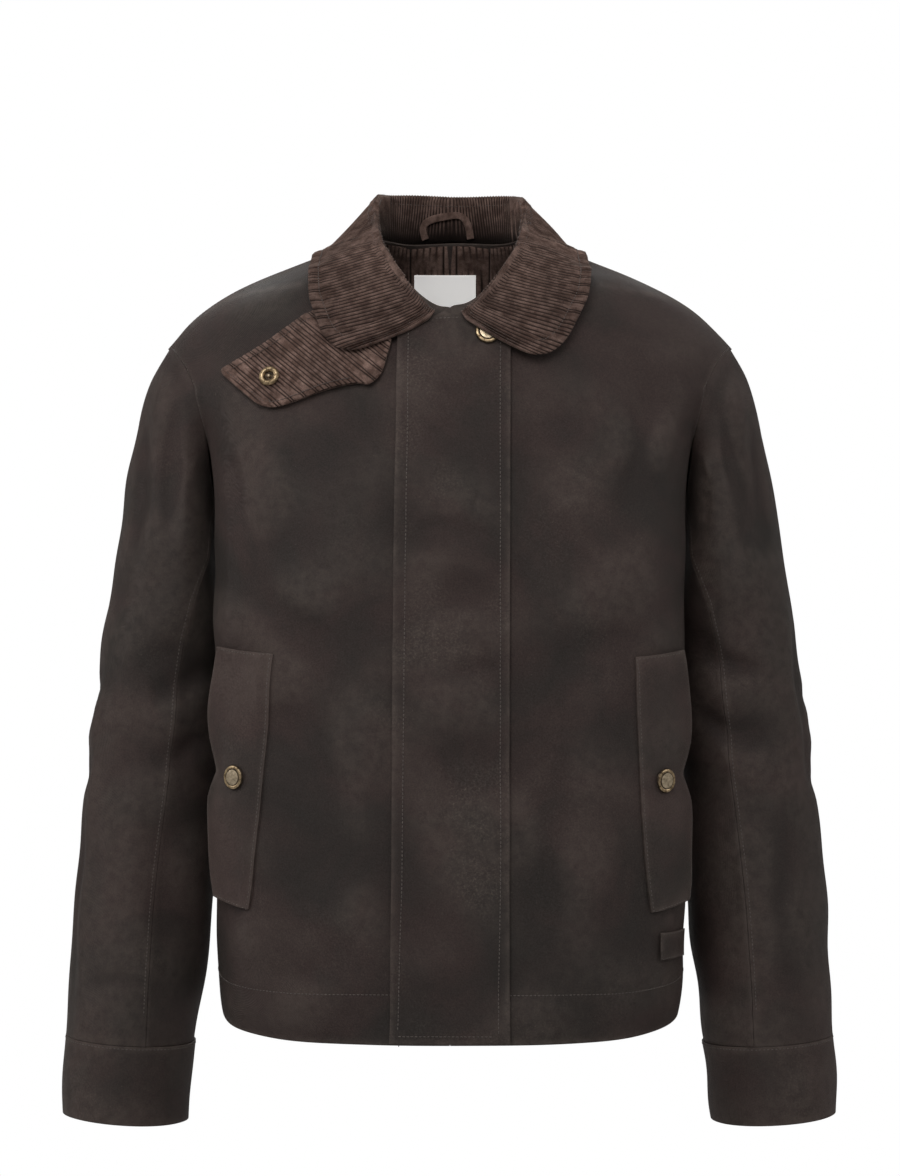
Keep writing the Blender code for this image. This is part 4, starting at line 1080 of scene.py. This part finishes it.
# %% Sewing the rows
FLAP_ROWS = [  # x and height, in millimetres
    [(-30, -80), (-30, -150), (-31, -201), (-34, -480), (-35, -509), (-37, -583)],
    [(36, -88), (35.6, -150), (35.4, -480), (34.2, -550), (34, -583)],
    [(-37, -583), (34, -583)],
    [(-11, -74), (8, -74)],
]
STAND_ROW = [(-0.046, -0.075, 0.0275), (0.046, -0.075, 0.0275)]
HEM_TURN = 0.036
BESIDE = 0.0024
BESIDE_CUFF = BESIDE * 0.8
SMALL = 0.85  # the size of a stitch in finer thread
WELT_INSET = 0.0015
TRIM_INSET = 0.0012
COLLAR_TURN = 0.0070
TAB_TURN = 0.0045
COLLAR_HEART = np.array([0.0, -0.075, -0.16])


def collar_outward(points):
    return unit(points - COLLAR_HEART)


def everywhere(_):
    return True


RIM_ROWS = {  # for each panel: how far in a row lies, and beside which rims, by their middles
    "front": [
        (HEM_TURN, lambda p: p.z < -0.57),
        (BESIDE, lambda p: abs(p.x) > 0.155 and -0.25 < p.z < -0.085),
        (BESIDE, lambda p: p.z > -0.085 and p.y > -0.115 and abs(p.x) > 0.065),
    ],
    "back": [
        (HEM_TURN, lambda p: p.z < -0.57),
        (BESIDE, lambda p: abs(p.x) > 0.12 and -0.56 < p.z < -0.25),
        (BESIDE, lambda p: abs(p.x) > 0.150 and -0.25 < p.z < -0.095),
    ],
    "pocket_welt": [(WELT_INSET, everywhere)],
    "sleeve_upper": [(BESIDE, lambda p: -0.59 < p.z < -0.19)],
    "cuff": [(BESIDE_CUFF, lambda p: p.z > -0.63)],
}


def sew_rims(panel, side="", size=1.0):
    name = panel + side
    rows = [rim_rows(name, inset, keep) for inset, keep in RIM_ROWS[panel]]
    sew(name + "_stitches", itertools.chain(*rows), name, thread, size)


sew("flap_stitches", [front_row(row, "storm_flap") for row in FLAP_ROWS], "storm_flap", thread)
for side in SIDES:
    sew_rims("front", "_" + side)
sew_rims("back")
for side in SIDES:
    for panel in ("pocket_welt", "sleeve_upper", "cuff"):
        sew_rims(panel, "_" + side, SMALL)
collar_rows = [
    *rim_rows("collar", COLLAR_TURN, everywhere, collar_outward),
    set_on(walk(STAND_ROW, STITCH_STEP), "collar", (0, 1, 0)),
]
tab_rows = rim_rows("throat_tab", TAB_TURN, lambda p: p.x < -0.068)
label_rows = rim_rows("neck_label", TRIM_INSET, everywhere, lambda points: [(0, -1, 0)])
patch_rows = rim_rows("hem_patch", TRIM_INSET, everywhere)
sew("collar_stitches", collar_rows, "collar", cord_thread, 1.05)
sew("tab_stitches", tab_rows, "throat_tab", cord_thread, 1.05)
# the label's stitches share the tape's painted glow
sew("label_stitches", label_rows, "neck_label", tape, 0.7)
sew("patch_stitches", patch_rows, "hem_patch", thread, 0.8)

# %% [markdown]
# ## Press studs
# A stud's cap is a thin brass cup with a rolled rim round a flat disc. Its half section is drawn
# as a line of points and spun round. The stud on the tab shows its socket instead: a ring with
# dark dots on it, and a small ball at the middle.

# %% Spinning a section
SPIN_STEPS = 40
STUD_SMOOTH = math.radians(40)


def spun(name, section, finishes):
    """Turns a half section round the upright axis. finishes: each with the radius it ends at."""
    mesh = bpy.data.meshes.new(name)
    points = [(radius / 1000, 0.0, height / 1000) for radius, height in section]
    mesh.from_pydata(points, [(i, i + 1) for i in range(len(points) - 1)], [])
    piece = new_object(name, mesh)
    open_piece(piece)
    bpy.ops.mesh.spin(steps=SPIN_STEPS, angle=2 * math.pi, center=(0, 0, 0), axis=(0, 0, 1))
    bpy.ops.mesh.select_all(action="SELECT")
    bpy.ops.mesh.remove_doubles(threshold=MERGE)
    bpy.ops.mesh.normals_make_consistent(inside=False)
    close_piece()
    for _, finish in finishes:
        piece.data.materials.append(finish)
    for face in piece.data.polygons:
        radius = Vector(face.center[:2]).length * 1000
        face.material_index = next(i for i, (most, _) in enumerate(finishes) if radius < most)
    return piece


CAP = [  # radius and height in millimetres
    (0, 2.30), (2.6, 2.27), (4.9, 2.20), (5.5, 2.12), (5.75, 1.80), (6.0, 1.72), (6.25, 1.84),
    (7.0, 2.02), (7.7, 1.98), (8.3, 1.66), (8.75, 1.15), (8.9, 0.70), (8.7, 0.25), (8.0, 0.0),
    (5.0, -0.3), (0, -0.3),
]
SOCKET = [
    (0, 2.35), (0.7, 2.22), (1.2, 1.85), (1.45, 1.30), (1.35, 0.75), (1.7, 0.45), (3.1, 0.45),
    (3.5, 0.9), (3.75, 1.8), (4.3, 2.45), (5.1, 2.72), (5.9, 2.62), (6.7, 2.22), (7.3, 1.45),
    (7.5, 0.8), (7.2, 0.2), (5.0, -0.3), (0, -0.3),
]
ALL = 99  # a radius beyond the rim
CAP_FINISHES = [(5.6, pale_metal), (6.2, dark_metal), (8.15, brass), (ALL, dark_metal)]
SOCKET_FINISHES = [(1.4, pale_metal), (3.6, dark_metal), (ALL, brass)]
print("a cap is", 2 * max(CAP)[0], "mm across")

# %% The socket's dots
DOTS = 8
DOT_RING = 0.0052
DOT_HEIGHT = 0.0026
DOT_RADIUS = 0.00042
DOT_REACH = 0.0006
DOT_FACE = 4e-8  # the dots' faces are smaller than this, and the socket's are larger


def model_socket(name):
    piece = spun(name, SOCKET, SOCKET_FINISHES)
    open_piece(piece, "DESELECT")
    for dot in range(DOTS):
        turn = 2 * math.pi * (dot + 0.5) / DOTS
        place = (DOT_RING * math.cos(turn), DOT_RING * math.sin(turn), DOT_HEIGHT)
        bpy.ops.mesh.primitive_uv_sphere_add(
            segments=10, ring_count=6, radius=DOT_RADIUS, location=place
        )
    close_piece()
    piece.data.materials.append(dark_metal)
    for face in piece.data.polygons:
        from_ring = abs(Vector(face.center[:2]).length - DOT_RING)
        if from_ring < DOT_REACH and face.area < DOT_FACE:
            face.material_index = len(SOCKET_FINISHES)
    return piece


# %% Setting the studs on the cloth
STUDS = {  # node: what it is set on
    "snap_flap": "storm_flap",
    "snap_pocket_left": "pocket_welt_left",
    "snap_pocket_right": "pocket_welt_right",
    "snap_tab": "throat_tab",
}
studs = {}
for node_name, carrier in STUDS.items():
    name = node_name + "_metal"
    is_socket = node_name == "snap_tab"
    stud = model_socket(name) if is_socket else spun(name, CAP, CAP_FINISHES)
    spread = points_of(nodes[node_name])
    middle = spread.mean(axis=0)
    axis = np.linalg.svd(spread - middle)[2][2]
    axis *= -np.sign(axis[1])
    foot = middle + axis * (spread - middle).dot(axis).min()
    turn = Vector(axis).to_track_quat("Z", "Y").to_matrix().to_4x4()
    stud.data.transform(Matrix.Translation(Vector(foot)) @ turn)
    select_only(stud)
    bpy.ops.object.shade_smooth_by_angle(angle=STUD_SMOOTH)
    sewn[name] = carrier
    studs[node_name] = stud
    print(f"{name}: at", Vector(foot).to_tuple(4))

# %% [markdown]
# ## Creasing everything at once
# The same push is given to a panel, to the stitches in it and to whatever lies on it, so nothing
# comes apart. Where a ridge rises or a seam runs, the wax is rubbed, and the attribute "worn"
# keeps that for the finish. The tab also puckers round its stud, where the stud grips it.

# %% Turned edges and dimples
TURN_RAISE = 0.0005
TURN_FALL = 0.0012  # the doubling thins out from here
TURN_END = 0.0004
TURN_GROOVE = 0.0008
GROOVE_WIDTH = 0.0011
DIMPLES = 7
DIMPLE_DEPTH = 0.0022
DIMPLE_RING = 0.0095  # the radius at which they are deepest
DIMPLE_WIDTH = 0.0035
RIM_SAMPLES = 9
tab_stud = points_of(nodes["snap_tab"]).mean(axis=0)


def dimple(points):
    """Puckers the tab towards its stud."""
    away = points - tab_stud
    distance = np.linalg.norm(away[:, (0, 2)], axis=1)
    around = 0.55 + 0.45 * np.sin(DIMPLES * np.arctan2(away[:, 2], away[:, 0]))
    depth = DIMPLE_DEPTH * np.exp(-((distance - DIMPLE_RING) / DIMPLE_WIDTH) ** 2) * around
    return points + depth[:, None] * (0, 1, 0)


def from_rims(piece, edges):
    """How far each point of a piece lies from these rims."""
    tree = KDTree(max(1, len(edges) * RIM_SAMPLES))
    for (start, end), _ in edges:
        for share in range(RIM_SAMPLES):
            tree.insert(start.lerp(end, share / (RIM_SAMPLES - 1)), 0)
    tree.balance()
    return np.array([tree.find(vert.co)[2] for vert in piece.data.vertices])


def turn_edge(piece, edges, width):
    """Raises the doubled cloth of a turned edge, and sinks the groove where it is stitched."""
    points = points_of(piece)
    inward = from_rims(piece, edges)
    push = TURN_RAISE * (1 - soft_step(inward, width - TURN_FALL, width + TURN_END))
    push -= TURN_GROOVE * np.exp(-(((inward - width) / GROOVE_WIDTH) ** 2))
    move_points(piece, points + collar_outward(points) * push[:, None])


for node_name, width in (("collar", COLLAR_TURN), ("throat_tab", TAB_TURN)):
    turn_edge(pieces[node_name], seams[node_name], width)
print("the tab puckers round", tab_stud.round(3))

# %% Rubbing the wax, and draping
WAXED = (waxed, waxed_flap, waxed_welt)
WORN_REACH = 0.0030
LINE_REACH = 0.0022
RIDGE_WEAR = 0.0016
SLEEVE_WEAR = 0.4  # a sleeve's seams are lapped, so little of their edge is rubbed
SHOULDER_LINE = np.array([  # x and height, where the shoulder seam is rubbed pale
    (0.2056, -0.0833), (0.1850, -0.0640), (0.1676, -0.0530), (0.1417, -0.0492),
    (0.1093, -0.0451),
])


def rub(piece, push, edges):
    """Marks how worn each point is: near a rim, on a ridge, or on a shoulder seam."""
    worn = np.exp(-((from_rims(piece, edges) / WORN_REACH) ** 2))
    if piece.name.startswith("sleeve"):
        worn *= SLEEVE_WEAR
    points = points_of(piece)
    ahead = points[:, 1] < -0.04
    worn += np.exp(-((from_line(points, SHOULDER_LINE) / LINE_REACH) ** 2)) * ahead
    worn = np.clip(worn * 0.8 + np.clip(push / RIDGE_WEAR, 0, 1) * 0.55, 0, 1)
    mark_points(piece, "worn", worn)


for node_name, piece in pieces.items():
    finish, region, *_ = PANELS[node_name]
    moved, push = drape(points_of(piece), region)
    if finish in WAXED:
        rub(piece, push, seams[node_name])
    if node_name == "throat_tab":
        moved = dimple(moved)
    move_points(piece, moved)
    if node_name in RIBBED:
        piece.data.shade_smooth()
    else:
        roll_edges(piece)
for name, carrier in sewn.items():
    piece = bpy.data.objects[name]
    moved, _ = drape(points_of(piece), PANELS[carrier][1])
    move_points(piece, moved)
print("draped", len(pieces), "panels and", len(sewn), "trims")

# %% [markdown]
# ## Joining each piece to the frame's body
# Every panel stands for its node, which is hidden, and is joined to the frame's body; the area that
# it was cut to is printed beside the area modelled. Stitches and studs ride with the rest.

# %% Joining the panels
for node_name, piece in pieces.items():
    _, _, flat, area, lies_on = PANELS[node_name]
    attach(piece, "root")
    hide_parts(node_name)
    cut = area or flat[0] * flat[1]
    modelled = sum(face.area for face in piece.data.polygons) / 2  # a thin wall has two faces
    print(f"{node_name}: cut {cut:.4f} m2, modelled {modelled:.4f} m2")
for name, carrier in sewn.items():
    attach(bpy.data.objects[name], "root")
for node_name, stud in studs.items():
    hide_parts(node_name)

# %% [markdown]
# ## Size
# The sizes of the frame and of the dressed jacket are printed; the dressed one is meant to be no
# bigger, apart from a little fullness of the cloth.

# %% Sizes and finish
visual_box = [list(corner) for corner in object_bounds()]
for what, (low, high) in (("frame", cad_box), ("dressed", visual_box)):
    print(what, [round((top - foot) * 1000, 1) for foot, top in zip(low, high)], "mm")
dressed = [*pieces.values(), *(bpy.data.objects[name] for name in sewn)]
print("about", sum(len(piece.data.polygons) * 2 for piece in dressed), "triangles in all")
